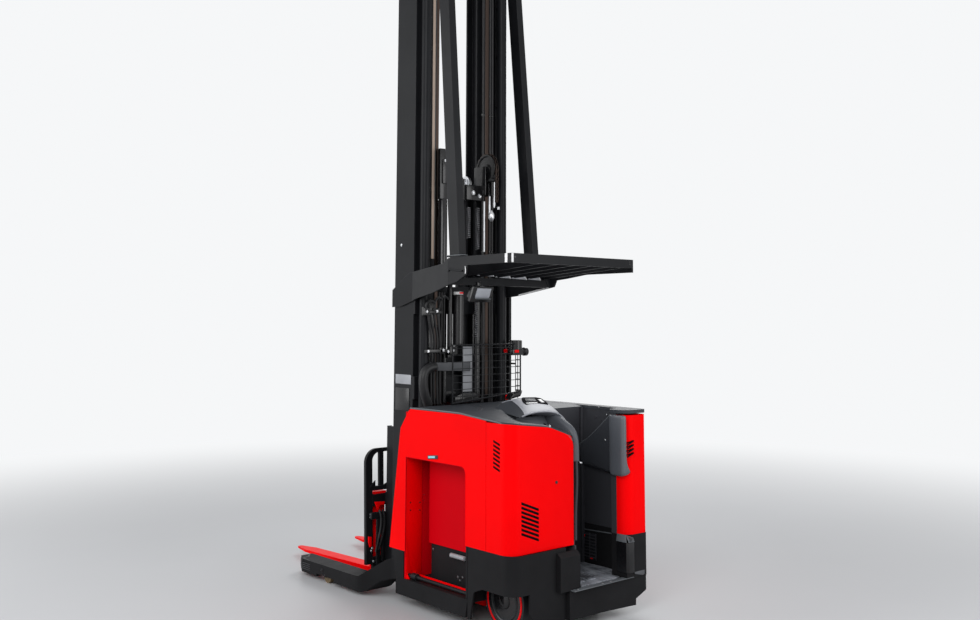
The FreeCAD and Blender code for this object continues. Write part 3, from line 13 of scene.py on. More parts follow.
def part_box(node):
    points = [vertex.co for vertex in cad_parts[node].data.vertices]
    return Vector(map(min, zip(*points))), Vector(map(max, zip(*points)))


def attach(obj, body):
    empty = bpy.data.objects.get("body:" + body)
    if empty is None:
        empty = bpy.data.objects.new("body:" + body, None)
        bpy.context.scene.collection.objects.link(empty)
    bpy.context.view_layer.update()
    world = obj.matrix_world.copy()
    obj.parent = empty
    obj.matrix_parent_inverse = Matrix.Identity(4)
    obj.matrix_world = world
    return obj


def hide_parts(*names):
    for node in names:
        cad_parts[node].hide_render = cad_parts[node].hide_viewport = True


bl_info = {
    "name": "Reach Truck Dressing",
    "version": (1, 0, 0),
    "blender": (4, 5, 0),
    "location": "View3D > Sidebar > Reach Truck",
    "description": "Finishes, fittings and a studio stage for a stand-up reach truck",
    "category": "Object",
}

BAY_WALL_X = 1.080      # m, from the step's rear face to the bay's front wall
SHARP_ANGLE = 40.0      # degrees, above which an edge is shaded as a crease
SOFT_ANGLE = 0.4        # radians, above which an edge is rounded
SLOT_PITCH = 24.6       # mm, between the cooling slots

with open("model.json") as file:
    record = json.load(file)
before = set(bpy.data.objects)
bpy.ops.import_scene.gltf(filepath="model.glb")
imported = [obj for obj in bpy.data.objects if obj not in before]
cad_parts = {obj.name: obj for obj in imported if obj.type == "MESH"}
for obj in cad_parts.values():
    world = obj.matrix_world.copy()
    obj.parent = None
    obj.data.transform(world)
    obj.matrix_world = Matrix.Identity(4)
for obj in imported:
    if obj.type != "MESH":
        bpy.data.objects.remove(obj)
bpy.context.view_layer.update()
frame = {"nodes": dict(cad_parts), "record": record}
nodes = frame["nodes"]
slots = {part["node"]: part["material_slot"] for part in frame["record"]["subparts"]}
zero_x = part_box("bay_front_wall")[0].x - BAY_WALL_X


def at(x, y, z):
    """A point given in millimetres from the step's rear face, the centre line and the floor."""
    return Vector((zero_x + x / 1000, y / 1000, z / 1000))


def flat(axis, height, *points):
    """Points given by two coordinates, at one height along the third axis."""
    k = "XYZ".index(axis)
    return [(*point[:k], height, *point[k:]) for point in points]


# ---------------------------------------------------------------- settings


def colour(name, description, value):
    """A colour property in linear light."""
    return FloatVectorProperty(name=name, description=description, default=value, size=3,
                               subtype="COLOR", min=0.0, max=1.0)


def amount(name, description, default, low=0.0, **values):
    """A number property, at least 0 unless told."""
    return FloatProperty(name=name, description=description, default=default, min=low, **values)


class TruckPaint(PropertyGroup):
    """Colours of the truck's finishes."""

    red: colour("Body red", "Gloss paint of the covers and forks", (0.95, 0.0008, 0.002))
    bay_red: colour("Bay red", "Paint inside the battery bay", (0.62, 0.001, 0.006))
    skirt: colour("Skirt black", "Textured paint of the lower bodywork", (0.0115, 0.0115, 0.0125))
    steelwork: colour("Steelwork charcoal", "Satin paint of the mast and guard", (0.0085, 0.0090, 0.0105))
    deck: colour("Deck slate", "Moulded plastic of the deck", (0.032, 0.036, 0.043))
    console: colour("Console grey", "Moulded plastic of the console hood", (0.27, 0.28, 0.31))
    lining: colour("Lining black", "Inner panels and pads", (0.040, 0.041, 0.047))
    wear: amount("Edge wear", "How much bare edge shows through the paint", 0.25, max=1.0, subtype="FACTOR")


class TruckStage(PropertyGroup):
    """Floor, lamps and camera."""

    floor: colour("Floor", "Colour of the studio floor", (0.50, 0.505, 0.515))
    lens: amount("Focal length", "Focal length of the camera", 36.73, 10.0, max=200.0, unit="CAMERA")
    backdrop: colour("Backdrop", "Colour that the camera sees behind the truck", (0.92, 0.93, 0.94))
    near: amount("Floor fade start", "Distance at which the floor starts to fade", 2.6, unit="LENGTH")
    far: amount("Floor fade end", "Distance at which the floor is the backdrop", 9.0, unit="LENGTH")
    key: amount("Key lamp", "Power of the main soft lamp", 190.0, unit="POWER")
    fill: amount("Fill lamp", "Power of the fill lamp", 95.0, unit="POWER")


# ---------------------------------------------------------------- materials


MIX_INPUTS, MIX_OUTPUT = (0, 6, 7), 2       # a colour mix's factor and two colours, and its result


class Tree:
    """A small builder of node trees."""

    def __init__(self, tree):
        self.tree = tree

    def put(self, socket, value):
        """Link another node's output to a socket, or set the socket's own value."""
        if hasattr(value, "links"):
            self.tree.links.new(value, socket)
        else:
            socket.default_value = (*value, 1.0) if socket.type == "RGBA" else value

    def node(self, kind, **values):
        """A shader node, with its inputs and settings by name."""
        made = self.tree.nodes.new("ShaderNode" + kind)
        for key, value in values.items():
            socket = key.replace("_", " ")
            if socket in made.inputs:
                self.put(made.inputs[socket], value)
            else:
                setattr(made, key, value)
        return made

    def math(self, operation, *values, kind="Math"):
        made = self.node(kind, operation=operation)
        for socket, value in zip(made.inputs, values):
            self.put(socket, value)
        return made.outputs["Value"]

    def seen(self):
        """1 for what the camera sees directly, in gloss or through glass."""
        rays = self.node("LightPath").outputs
        direct = self.math("MAXIMUM", rays["Is Camera Ray"], rays["Is Glossy Ray"])
        return self.math("MAXIMUM", direct, rays["Is Transmission Ray"])

    def blend(self, amount, first, second, output):
        """Show a mix of two shaders on an output's surface."""
        made = self.node("MixShader", Fac=amount)
        self.put(made.inputs[1], first.outputs[0])
        self.put(made.inputs[2], second.outputs[0])
        self.put(self.tree.nodes[output].inputs["Surface"], made.outputs[0])


class Shader(Tree):
    """A procedural material round one principled shader."""

    def __init__(self, name):
        self.material = bpy.data.materials.new(name)
        self.material.use_nodes = True
        super().__init__(self.material.node_tree)
        self.shader = self.tree.nodes["Principled BSDF"]
        self.place = self.node("TexCoord").outputs["Object"]

    def noise(self, scale, detail=3.0, roughness=0.5, stretch=None):
        place = self.node("Mapping", Vector=self.place, Scale=stretch).outputs["Vector"] if stretch else self.place
        return self.node("TexNoise", Vector=place, Scale=scale, Detail=detail, Roughness=roughness).outputs["Fac"]

    def bands(self, **values):
        """Flutes or ribs across the left-right axis."""
        return self.node("TexWave", wave_type="BANDS", bands_direction="Y", Vector=self.place, **values).outputs["Fac"]

    def ramp(self, source, *stops):
        made = self.node("ValToRGB", Fac=source)
        for element, (position, tint) in zip(made.color_ramp.elements, stops):
            element.position = position
            element.color = (*tint, 1.0)
        return made.outputs["Color"]

    def tones(self, source, tint, *stops):
        """A ramp between shades of one tint, each stop a position and a factor."""
        return self.ramp(source, *((position, shaded(tint, factor)) for position, factor in stops))

    def spread(self, source, low, high):
        return self.node("MapRange", Value=source, To_Min=low, To_Max=high).outputs["Result"]

    def rounded(self, radius):
        return self.node("Bevel", samples=4, Radius=radius).outputs["Normal"]

    def edge(self, radius):
        """Near 1 along hard edges, 0 on flat faces."""
        plain = self.node("NewGeometry").outputs["Normal"]
        match = self.math("DOT_PRODUCT", self.rounded(radius), plain, kind="VectorMath")
        return self.node("MapRange", Value=match, From_Min=0.98, From_Max=0.88).outputs["Result"]

    def mix(self, amount, first, second):
        made = self.node("Mix", data_type="RGBA")
        for k, value in zip(MIX_INPUTS, (amount, first, second)):
            self.put(made.inputs[k], value)
        return made.outputs[MIX_OUTPUT]

    def tinted_edges(self, base, radius, wear, bare):
        """The base colour, turned to a second tint along hard edges: worn paint on most finishes, painted highlight on
        the steelwork.
        """
        return self.mix(self.math("MULTIPLY", self.edge(radius), wear), base, bare)

    def bump(self, height, strength, distance, radius=0.0):
        made = self.node("Bump", Strength=strength, Distance=distance, Height=height)
        if radius:
            self.put(made.inputs["Normal"], self.rounded(radius))
        self.put(self.shader.inputs["Normal"], made.outputs["Normal"])

    def set(self, **values):
        for key, value in values.items():
            self.put(self.shader.inputs[key.replace("_", " ")], value)


def shaded(tint, factor):
    return tuple(channel * factor for channel in tint)


def gloss_paint(name, tint, wear, shine=0.03):
    """Sprayed enamel: faint orange peel, slow drift of tone, scuffed edges."""
    s = Shader(name)
    drift = s.tones(s.noise(1.6, 4.0), tint, (0.35, 0.93), (0.65, 1.04))
    scuff = s.spread(s.noise(26.0, 5.0), -0.6 * wear, 0.9 * wear)
    s.set(Base_Color=s.tinted_edges(drift, 0.0025, scuff, shaded(tint, 0.55)),
          Roughness=s.spread(s.noise(9.0, 5.0), 0.30, 0.40), Specular_IOR_Level=shine)
    s.bump(s.noise(420.0, 1.0), 0.035, 0.0006, 0.003)
    return s.material


def textured_paint(name, tint, rough=0.55, grain=900.0, strength=0.25, wear=0.0, shine=0.15,
                   edge_wear_and_highlight_tint=(0.09, 0.09, 0.095)):
    """Powder coat: a fine grain, faint clouding and lighter edges, worn on most coats and a painted highlight on the
    steelwork.
    """
    s = Shader(name)
    cloud = s.tones(s.noise(3.2, 6.0, 0.6), tint, (0.3, 0.82), (0.7, 1.22))
    # edge mask: edge wear, and on the steelwork also painted highlight along its edges
    rub = s.spread(s.noise(38.0, 4.0), -0.2 * wear, 1.2 * wear)
    s.set(Base_Color=s.tinted_edges(cloud, 0.003, rub, edge_wear_and_highlight_tint),
          Roughness=s.spread(s.noise(14.0, 5.0), rough - 0.06, rough + 0.08), Specular_IOR_Level=shine)
    s.bump(s.noise(grain, 2.0), strength, 0.0005, 0.003)
    return s.material


def moulded_plastic(name, tint, rough=0.5, grain=1400.0, strength=0.16, shine=0.3):
    """Moulded plastic with a fine leather-like grain."""
    s = Shader(name)
    drift = s.tones(s.noise(2.2), tint, (0.3, 0.92), (0.7, 1.07))
    # every hard edge paler, at a fixed strength
    s.set(Base_Color=s.tinted_edges(drift, 0.003, 0.35, shaded(tint, 1.7)),
          Roughness=s.spread(s.noise(12.0, 4.0), rough - 0.05, rough + 0.06), Specular_IOR_Level=shine)
    s.bump(s.noise(grain, 3.0, 0.6), strength, 0.0004, 0.004)
    return s.material


def bright_steel(name, tint=(0.62, 0.63, 0.65), rough=0.22, stretch=(1, 1, 0.02)):
    """Ground steel with fine lines along its length."""
    s = Shader(name)
    lines = s.noise(700.0, 3.0, 0.5, stretch)
    s.set(Base_Color=s.tones(lines, tint, (0.3, 0.85), (0.7, 1.0)), Metallic=1.0,
          Roughness=s.spread(lines, rough, rough + 0.16))
    s.bump(lines, 0.05, 0.0003)
    return s.material


def rubber(name, tint, rough, grain):
    """Worn rubber: dusty, with a soft grain."""
    s = Shader(name)
    dusty = tuple(channel * 1.5 + 0.006 for channel in tint)
    s.set(Base_Color=s.ramp(s.noise(7.0, 6.0, 0.65), (0.35, tint), (0.75, dusty)),
          Roughness=s.spread(s.noise(20.0, 4.0), rough - 0.1, rough + 0.12), Specular_IOR_Level=0.25)
    s.bump(s.noise(grain, 4.0), 0.2, 0.0006, 0.002)
    return s.material


def fluted_lens(name, tint):
    """Clear moulded lens with fine flutes."""
    s = Shader(name)
    flutes = s.bands(Scale=60.0)
    s.set(Base_Color=s.tones(flutes, tint, (0.2, 0.75), (0.8, 1.0)), Roughness=0.14, Coat_Weight=0.6)
    s.bump(flutes, 0.2, 0.001)
    return s.material


def ribbed_mat(name, low, high):
    """Ribbed tread rubber, scuffed pale by boots."""
    s = Shader(name)
    scuff = s.noise(9.0, 8.0, 0.72, (1.0, 2.6, 1.0))
    ribs = s.bands(Scale=26.0, Distortion=0.4)
    worn = s.ramp(scuff, (0.38, low), (0.62, high))
    s.set(Base_Color=s.mix(s.spread(ribs, 0.0, 0.35), worn, low), Roughness=s.spread(scuff, 0.55, 0.8),
          Specular_IOR_Level=0.3)
    s.bump(ribs, 0.35, 0.002)
    return s.material


def honeycomb(name, tint):
    """Dark grille behind the slots: small cells with paler walls."""
    s = Shader(name)
    cells = s.node("TexVoronoi", feature="DISTANCE_TO_EDGE", Vector=s.place, Scale=110.0).outputs["Distance"]
    s.set(Base_Color=s.tones(cells, tint, (0.02, 9.0), (0.12, 1.0)), Roughness=s.spread(s.noise(30.0), 0.4, 0.6),
          Specular_IOR_Level=0.2)
    s.bump(cells, 0.6, 0.002)
    return s.material


finishes = {}


def make_finishes(paint):
    """All the finishes, by the name of the record's material slot or of the fitting that they are for."""
    near_black = (0.004, 0.004, 0.005)
    finishes.update(
        red_paint=gloss_paint("Red enamel", paint.red, paint.wear),
        red_inner=gloss_paint("Bay enamel", paint.bay_red, paint.wear, 0.02),
        black_skirt=textured_paint("Skirt powder coat", paint.skirt, wear=0.1, shine=0.08,
                                   edge_wear_and_highlight_tint=(0.035, 0.036, 0.038)),
        # the pale edge tint here paints highlights along the steelwork's edges, mixed with edge wear
        charcoal_paint=textured_paint("Steelwork paint", paint.steelwork, 0.36, 700.0, 0.10, wear=0.5, shine=0.12,
                                      edge_wear_and_highlight_tint=(0.16, 0.165, 0.175)),
        dark_plastic=moulded_plastic("Lining plastic", paint.lining, 0.42, shine=0.2),
        slate_plastic=moulded_plastic("Deck plastic", paint.deck, shine=0.25),
        grey_plastic=moulded_plastic("Console plastic", paint.console, 0.42),
        screen=moulded_plastic("Display glass", (0.003, 0.003, 0.004), 0.7, 200.0, 0.01, shine=0.02),
        pad_vinyl=moulded_plastic("Pad vinyl", (0.036, 0.039, 0.046), 0.34, 900.0, 0.2, shine=0.5),
        mat_rubber=ribbed_mat("Tread mat", (0.075, 0.080, 0.092), (0.36, 0.38, 0.42)),
        tyre=rubber("Drive tyre", (0.012, 0.013, 0.015), 0.42, 320.0),
        load_tyre=rubber("Load tyre", (0.10, 0.07, 0.035), 0.5, 320.0),
        steel=bright_steel("Ground steel"),
        chain_steel=bright_steel("Oiled chain", (0.055, 0.040, 0.034), 0.30, (1, 1, 30)),
        hose_rubber=rubber("Hose cover", (0.010, 0.010, 0.011), 0.36, 300.0),
        lamp_glass=fluted_lens("Lamp lens", (0.38, 0.40, 0.44)),
        motor_paint=textured_paint("Motor paint", (0.022, 0.022, 0.024), 0.45),
        # white for the display keys and the cylinder's cap ring, and painted highlights on the overhead guard
        white_tape=textured_paint("White tape", (0.80, 0.80, 0.80), 0.35, 500.0, 0.05, shine=0.3),
        red_plastic=moulded_plastic("Red plastic", (0.85, 0.004, 0.006), 0.35, shine=0.1),
        # pale grey for blank plates, the damper and the leg plates, and painted light on the guard's slat ends
        plate_grey=textured_paint("Blank plate", (0.30, 0.31, 0.33), 0.4, 500.0, 0.05, shine=0.3),
        # trim grey, also used for pale rods of painted highlight along the strut feet
        trim_grey=moulded_plastic("Trim plastic", (0.11, 0.12, 0.13), 0.38, shine=0.35),
        grille=honeycomb("Grille", near_black),
        plate_dark=textured_paint("Bracket paint", (0.075, 0.078, 0.085), 0.5, 260.0, 0.5, shine=0.25),
        # near-black for the slots: painted shade inside them
        slot_black=textured_paint("Slot screen", near_black, 0.7, 900.0, 0.2, shine=0.02, edge_wear_and_highlight_tint=near_black),
        # the pad's vinyl made paler: painted highlight on the roll's rear-facing side
        roll_vinyl=moulded_plastic("Roll vinyl", (0.085, 0.092, 0.105), 0.34, 900.0, 0.2, shine=0.5),
        catch_blue=moulded_plastic("Catch plastic", (0.30, 0.66, 0.72), 0.4),
        cheek_plastic=moulded_plastic("Cheek plastic", (0.072, 0.078, 0.090), 0.45, shine=0.35),
        # deck plastic made lighter: painted light in the steering bowl's shade
        bowl_plastic=moulded_plastic("Bowl plastic", (0.11, 0.12, 0.135)),
        chain_guard=moulded_plastic("Chain guard", (0.46, 0.36, 0.29), 0.45),
        lining_plastic=moulded_plastic("Window tint", (0.05, 0.052, 0.056), 0.45, shine=0.1),
        spring_steel=bright_steel("Spring steel", (0.16, 0.16, 0.17), 0.3),
        gloss_black=textured_paint("Cylinder enamel", (0.006, 0.006, 0.007), 0.2, 300.0, 0.03, shine=0.4),
    )


# ---------------------------------------------------------------- mesh tools


AXES = {"X": Vector((1, 0, 0)), "Y": Vector((0, 1, 0)), "Z": Vector((0, 0, 1))}
LINK_LENGTH, LINK_WIDTH, LINK_PLATE = 22, 14, 3.4       # mm, a chain plate and its thickness
LINK_INNER, LINK_OUTER = 4.0, 8.5                       # mm, from the chain's middle to its plates' inner faces


class Form:
    """A piece in the making: plates, turned shapes, tubes and sculpted skins in one mesh, in millimetres."""

    def __init__(self):
        self.bm = bmesh.new()

    def soften(self, faces, rounding):
        edges = {edge for face in faces for edge in face.edges if edge.calc_face_angle(0.0) > SOFT_ANGLE}
        bmesh.ops.bevel(self.bm, geom=list(edges), offset=rounding / 1000, segments=2, affect="EDGES",
                        profile=0.6, clamp_overlap=True)
        return self

    def block(self, low, high, rounding, turn=Matrix()):
        """A plate or housing with rounded edges between two corners, turned about its middle."""
        low, high = at(*low), at(*high)
        made = bmesh.ops.create_cube(self.bm, size=1.0)
        size = Matrix.Diagonal((*(high - low), 1.0))
        place = Matrix.Translation((low + high) / 2)
        bmesh.ops.transform(self.bm, matrix=place @ turn @ size, verts=made["verts"])
        return self.soften({face for vert in made["verts"] for face in vert.link_faces}, rounding)

    def plate(self, outline, depth, rounding):
        """A plate whose outline is a closed run of points, thickened along a vector."""
        shift = Vector(depth) / 1000
        base = [self.bm.verts.new(at(*point)) for point in outline]
        top = [self.bm.verts.new(vert.co + shift) for vert in base]
        faces = [self.bm.faces.new(base), self.bm.faces.new(top[::-1])]
        for i, vert in enumerate(base):
            j = (i + 1) % len(base)
            faces.append(self.bm.faces.new((base[j], vert, top[i], top[j])))
        bmesh.ops.recalc_face_normals(self.bm, faces=faces)
        return self.soften(faces, rounding)

    def sheet(self, axis, height, depth, rounding, *outline):
        """A plate across an axis, its outline given by the two other coordinates."""
        return self.plate(flat(axis, height, *outline), AXES[axis] * depth, rounding)

    def turned(self, profile, axis, steps, *feet, band=False):
        """Radius and height pairs swept round an axis at each foot: a capped solid, or a closed band."""
        across = AXES[axis].to_track_quat("Z", "Y").to_matrix().to_4x4()
        for foot in feet:
            place = Matrix.Translation(at(*foot)) @ across
            rings = []
            for radius, height in profile:
                ring = []
                for k in range(steps):
                    angle = 2 * math.pi * k / steps
                    point = Vector((radius * math.cos(angle), radius * math.sin(angle), height)) / 1000
                    ring.append(self.bm.verts.new(place @ point))
                rings.append(ring)
            for low, high in zip(rings, rings[1:] + rings[:1] * band):
                for k in range(steps):
                    j = (k + 1) % steps
                    self.bm.faces.new((low[k], low[j], high[j], high[k]))
            if not band:
                self.bm.faces.new(rings[0][::-1])
                self.bm.faces.new(rings[-1])
        return self

    def rod(self, points, radius, detail=2, curved=False):
        """A round rod along straight runs."""
        line = bpy.data.curves.new("line", "CURVE")
        line.dimensions = "3D"
        line.bevel_depth = radius / 1000
        line.bevel_resolution = detail
        line.use_fill_caps = True
        line.resolution_u = 8
        spline = line.splines.new("NURBS" if curved else "POLY")
        spline.points.add(len(points) - 1)
        for point, place in zip(spline.points, points):
            point.co = (*at(*place), 1.0)
        if curved:
            spline.order_u = 3
            spline.use_endpoint_u = True
        holder = bpy.data.objects.new("line", line)
        mesh = bpy.data.meshes.new_from_object(holder)
        self.bm.from_mesh(mesh)
        bpy.data.objects.remove(holder)
        bpy.data.curves.remove(line)
        bpy.data.meshes.remove(mesh)
        return self

    def tube(self, points, radius, detail=2):
        """A hose, pipe or bead along one smooth spline."""
        return self.rod(points, radius, detail, curved=True)

    def skin(self, rows, closed=False, capped=()):
        """A sculpted sheet through rows of points. Closed rows are loops, and the capped ones get a fan."""
        grid = [[self.bm.verts.new(at(*point)) for point in row] for row in rows]
        for low, high in zip(grid, grid[1:]):
            for k in range(len(low) - (not closed)):
                j = (k + 1) % len(low)
                self.bm.faces.new((low[k], low[j], high[j], high[k]))
        for loop in (grid[k] for k in capped):
            centre = self.bm.verts.new(sum((vert.co for vert in loop), Vector()) / len(loop))
            for vert, after in zip(loop, loop[1:] + loop[:1]):
                self.bm.faces.new((vert, after, centre))
        return self

    def coil(self, foot, height, radius, wire, turns, per_turn=10):
        """An upright coil spring."""
        x, y, z = foot
        steps = turns * per_turn
        points = []
        for k in range(steps + 1):
            angle = 2 * math.pi * k / per_turn
            points.append((x + radius * math.cos(angle), y + radius * math.sin(angle), z + height * k / steps))
        return self.rod(points, wire, 1)

    def link(self, centre, along, inner):
        """One pair of plates of a leaf chain, centred on a point and lying along a direction."""
        across = AXES["Y"]
        end = along * LINK_LENGTH / 2
        edge = along.cross(across) * LINK_WIDTH / 2
        for side in (-1, 1):
            face = centre + across * side * (LINK_INNER if inner else LINK_OUTER)
            self.plate([face - end - edge, face + end - edge, face + end + edge, face - end + edge],
                       across * LINK_PLATE * side, 1.2)
        return self

    def bolts(self, axis, radius, height, *feet, side=1):
        """A hexagon head on a washer at each foot."""
        for foot in feet:
            self.turned([(radius * 1.5, 0), (radius * 1.5, side * 1.6)], axis, 24, foot)
            self.turned([(radius, side * 1.6), (radius, side * height), (radius * 0.8, side * (height + 1))],
                        axis, 6, foot)
        return self

    def keep(self, name, finish, body="chassis", levels=0, instead_of=()):
        """Link the finished mesh, subdivided if asked, as a piece that rides on a CAD body."""
        bmesh.ops.recalc_face_normals(self.bm, faces=self.bm.faces)
        mesh = bpy.data.meshes.new(name)
        self.bm.to_mesh(mesh)
        self.bm.free()
        if levels:
            holder = bpy.data.objects.new(name, mesh)
            shape = holder.modifiers.new("smooth", "SUBSURF")
            shape.levels = shape.render_levels = levels
            bpy.context.scene.collection.objects.link(holder)
            finer = bpy.data.meshes.new_from_object(holder.evaluated_get(bpy.context.evaluated_depsgraph_get()))
            bpy.data.objects.remove(holder)
            bpy.data.meshes.remove(mesh)
            mesh = finer
        mesh.shade_smooth()
        mesh.set_sharp_from_angle(angle=math.radians(SHARP_ANGLE))
        made = bpy.data.objects.new(name, mesh)
        bpy.context.scene.collection.objects.link(made)
        mesh.materials.append(finishes[finish])
        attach(made, body)
        if instead_of:
            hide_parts(*instead_of)
        return made


# ---------------------------------------------------------------- finishes


class TRUCK_OT_finishes(Operator):
    """Make the finishes and give every CAD node its own"""

    bl_idname = "truck.finishes"
    bl_label = "Finishes"

    def execute(self, context):
        make_finishes(context.scene.truck_paint)
        for name, solid in nodes.items():
            solid.data.materials.clear()
            solid.data.materials.append(finishes[slots[name]])
        return {"FINISHED"}


# ---------------------------------------------------------------- console


hood_feet = ((692, 152, 1240), (625, 185, 1240), (545, 204, 1240), (480, 224, 1240), (360, 266, 1239),
             (262, 302, 1235), (204, 320, 1234), (206, 318, 1228))
hood_rows = (
    ((692, 120, 1243), (692, 70, 1243), (692, 20, 1243), (692, -30, 1243), (692, -70, 1243), (692, -95, 1240)),
    ((604, 118, 1288), (600, 80, 1300), (598, 20, 1302), (595, -30, 1300), (590, -72, 1288), (585, -105, 1235)),
    ((520, 124, 1312), (508, 92, 1324), (495, 20, 1327), (480, -42, 1324), (470, -78, 1308), (462, -108, 1225)),
    ((462, 140, 1304), (452, 108, 1317), (438, 30, 1320), (420, -38, 1317), (408, -72, 1300), (400, -98, 1215)),
    ((350, 184, 1276), (344, 148, 1286), (330, 60, 1290), (312, -20, 1287), (302, -58, 1270), (292, -85, 1200)),
    ((256, 244, 1258), (252, 204, 1268), (247, 110, 1273), (250, 10, 1269), (246, -44, 1250), (240, -72, 1180)),
    ((196, 286, 1246), (202, 240, 1256), (214, 130, 1261), (200, 30, 1252), (190, -26, 1226), (182, -56, 1150)),
    ((201, 282, 1238), (208, 236, 1247), (222, 130, 1251), (208, 34, 1242), (196, -18, 1216), (186, -50, 1150)),
    ((262, 262, 1228), (274, 220, 1234), (290, 126, 1237), (274, 44, 1226), (246, -6, 1204), (204, -42, 1150)),
    ((330, 258, 1224), (330, 216, 1229), (330, 124, 1231), (330, 44, 1222), (300, -4, 1200), (240, -36, 1150)),
)
bowl_section = ((306, 1221), (290, 1204), (270, 1170), (262, 1130))
bowl_dips = ((300, 46), (284, 20), (250, 6), (200, 0), (140, 0), (80, 0), (30, 4), (0, 20))
cheek_line = ((300, 1262), (245, 1250), (188, 1226), (125, 1197), (72, 1168), (46, 1132), (34, 1090), (30, 1030),
              (30, 965))
cheek_section = ((36, -130), (36, -34), (31, -9), (18, -1), (2, 0), (-14, -5), (-24, -22), (-26, -60), (-26, -130))


def cheek_rows():
    """Rounded sections across the cheek's crest, leaner where it stands beside the cover."""
    rows = []
    for k, (x, z) in enumerate(cheek_line):
        before, after = cheek_line[max(k - 1, 0)], cheek_line[min(k + 1, len(cheek_line) - 1)]
        along = Vector((after[0] - before[0], after[1] - before[1])).normalized()
        out_x, out_z = along.y, -along.x
        lean = 0 if z > 1120 else 13
        rows.append([(x + out_x * off, y - (lean if y > 10 else 0), z + out_z * off) for y, off in cheek_section])
    return rows


class TRUCK_OT_console(Operator):
    """Console hood with its lip, the cheek beside the steering bowl, the display and the deck's trim"""

    bl_idname = "truck.console"
    bl_label = "Console"

    def execute(self, context):
        Form().skin(hood_rows).keep("console_shell", "grey_plastic", levels=2, instead_of=["console_hood"])
        crest = [row[0] for row in hood_rows]
        flank = [(foot, (x, y, z), (x - 1, y - 6, z + 1)) for foot, (x, y, z) in zip(hood_feet, crest)]
        Form().skin(flank).keep("console_flank", "slate_plastic", levels=2)
        bowl = [[(x - dip, y, z) for x, z in bowl_section] for y, dip in bowl_dips]
        # the bowl's front wall in lighter deck plastic: painted light in its shade
        Form().skin(bowl).keep("bowl_front", "bowl_plastic", levels=1)
        Form().skin(cheek_rows()).keep("bowl_cheek", "cheek_plastic", levels=2)
        (Form()
         .tube([(202, 306, 1239), (199, 284, 1246), (204, 240, 1254), (216, 130, 1259), (202, 34, 1250),
                (191, -24, 1224), (184, -50, 1180)], 5)
         .keep("hood_lip", "grey_plastic"))
        Form().tube(crest[1:7], 3).keep("hood_crease", "grey_plastic")
        self.display()
        self.trim()
        return {"FINISHED"}

    def display(self):
        (Form()
         .plate([(354, 136, 1284), (318, -22, 1284), (352, -34, 1298), (402, -36, 1315), (430, -16, 1321),
                 (464, 66, 1322), (452, 88, 1318), (404, 118, 1302)], (0, 0, 6), 2.5)
         .keep("display_panel", "screen", instead_of=["display"]))
        (Form()
         .plate([(364, 120, 1296), (350, 40, 1296), (360, 38, 1299), (374, 118, 1299)], (0, 0, 3), 0.8)
         .plate([(350, 8, 1297), (344, -14, 1297), (388, -24, 1313), (396, -2, 1313)], (0, 0, 3), 0.8)
         .keep("display_keys", "white_tape"))
        (Form()
         .plate([(386, 104, 1305), (372, 26, 1304), (412, 14, 1318), (436, 76, 1321)], (0, 0, 2), 0.5)
         .keep("display_window", "lining_plastic"))

    def trim(self):
        (Form()
         .tube([(1040, 531, 1248), (900, 531, 1251), (700, 531, 1252), (560, 531, 1252), (500, 531, 1250),
                (400, 531, 1240), (270, 531, 1230), (150, 531, 1222), (118, 528, 1219), (84, 512, 1217),
                (62, 484, 1216), (54, 448, 1214), (53, 400, 1210), (53, 252, 1193), (53, 210, 1182)], 5)
         .tube([(53, 210, 1182), (53, 150, 1160), (53, 77, 1132), (52, 45, 1108), (50, 30, 1090)], 3)
         .keep("deck_welt", "trim_grey"))
        # dark strips for the deck's slits: painted shade in them
        (Form()
         .sheet("Z", 1251, 2.2, 0.6, (939, 90), (939, 102), (787, 187), (787, 175))
         .sheet("Z", 1251, 2.2, 0.6, (903, 50), (903, 62), (731, 173), (731, 161))
         .sheet("Z", 1252, 1.5, 0.5, (760, 205), (740, 180), (700, 200), (590, 300), (580, 330), (600, 330))
         .keep("deck_slits", "dark_plastic"))
        (Form()
         .turned([(9, 0), (9, 3), (6, 5)], "X", 20, (52, 239, 1193))
         .turned([(6, 0), (6, 3), (4, 4)], "Y", 16, (274, -452, 1160), (320, -452, 1178))
         .keep("deck_latch_bore", "dark_plastic"))
        (Form()
         .turned([(6, -2), (6, 3), (4, 5)], "X", 20, (49, 222, 1190))
         .turned([(5, 0), (5, 2), (3, 3)], "Y", 16,
                 *flat("Y", -450, (288, 1246), (219, 1203), (150, 1150), (120, 1118)))
         .plate([(30, -12, 952), (46, -12, 952), (46, -32, 949), (30, -32, 949)], (0, 0, 9), 2)
         .keep("console_screws", "steel"))


# ---------------------------------------------------------------- wall pad


pad_outline = ((96, 846), (96, 1214), (160, 1208), (186, 1190), (240, 1142), (300, 1094), (352, 1052), (388, 1030),
               (430, 1008), (446, 992), (446, 880), (420, 870), (324, 862), (220, 846), (150, 838))
pad_crown = ((1.0, -452), (1.0, -432), (0.985, -425), (0.95, -420.5), (0.86, -418), (0.6, -417.5), (0.3, -417))
roll_levels = ((1221, 0.90, -352), (1216, 0.97, -354), (1190, 1.0, -355), (1100, 1.0, -355), (1000, 1.0, -355),
               (960, 1.0, -356), (925, 1.0, -362), (900, 1.0, -378), (880, 1.0, -402), (866, 0.98, -410),
               (856, 0.92, -380), (846, 0.80, -356))
roll_plan = ((-43, -348), (-40, -332), (-30, -323), (-8, -319), (30, -318), (62, -320), (84, -328), (94, -342),
             (98, -360), (98, -420), (84, -430), (60, -352), (20, -350), (-20, -351), (-34, -356))
roll_x, roll_y = 28, -345       # middle and inner side of the roll in plan


def roll_rows():
    """The roll's plan sections from its top to the tongue at its foot."""
    rows = []
    for z, share, tongue in roll_levels:
        rows.append([(roll_x + (x - roll_x) * share, y if y < roll_y else roll_y + (y - roll_y) * share, z)
                     for x, y in ((-41, tongue), *roll_plan)])
    return rows


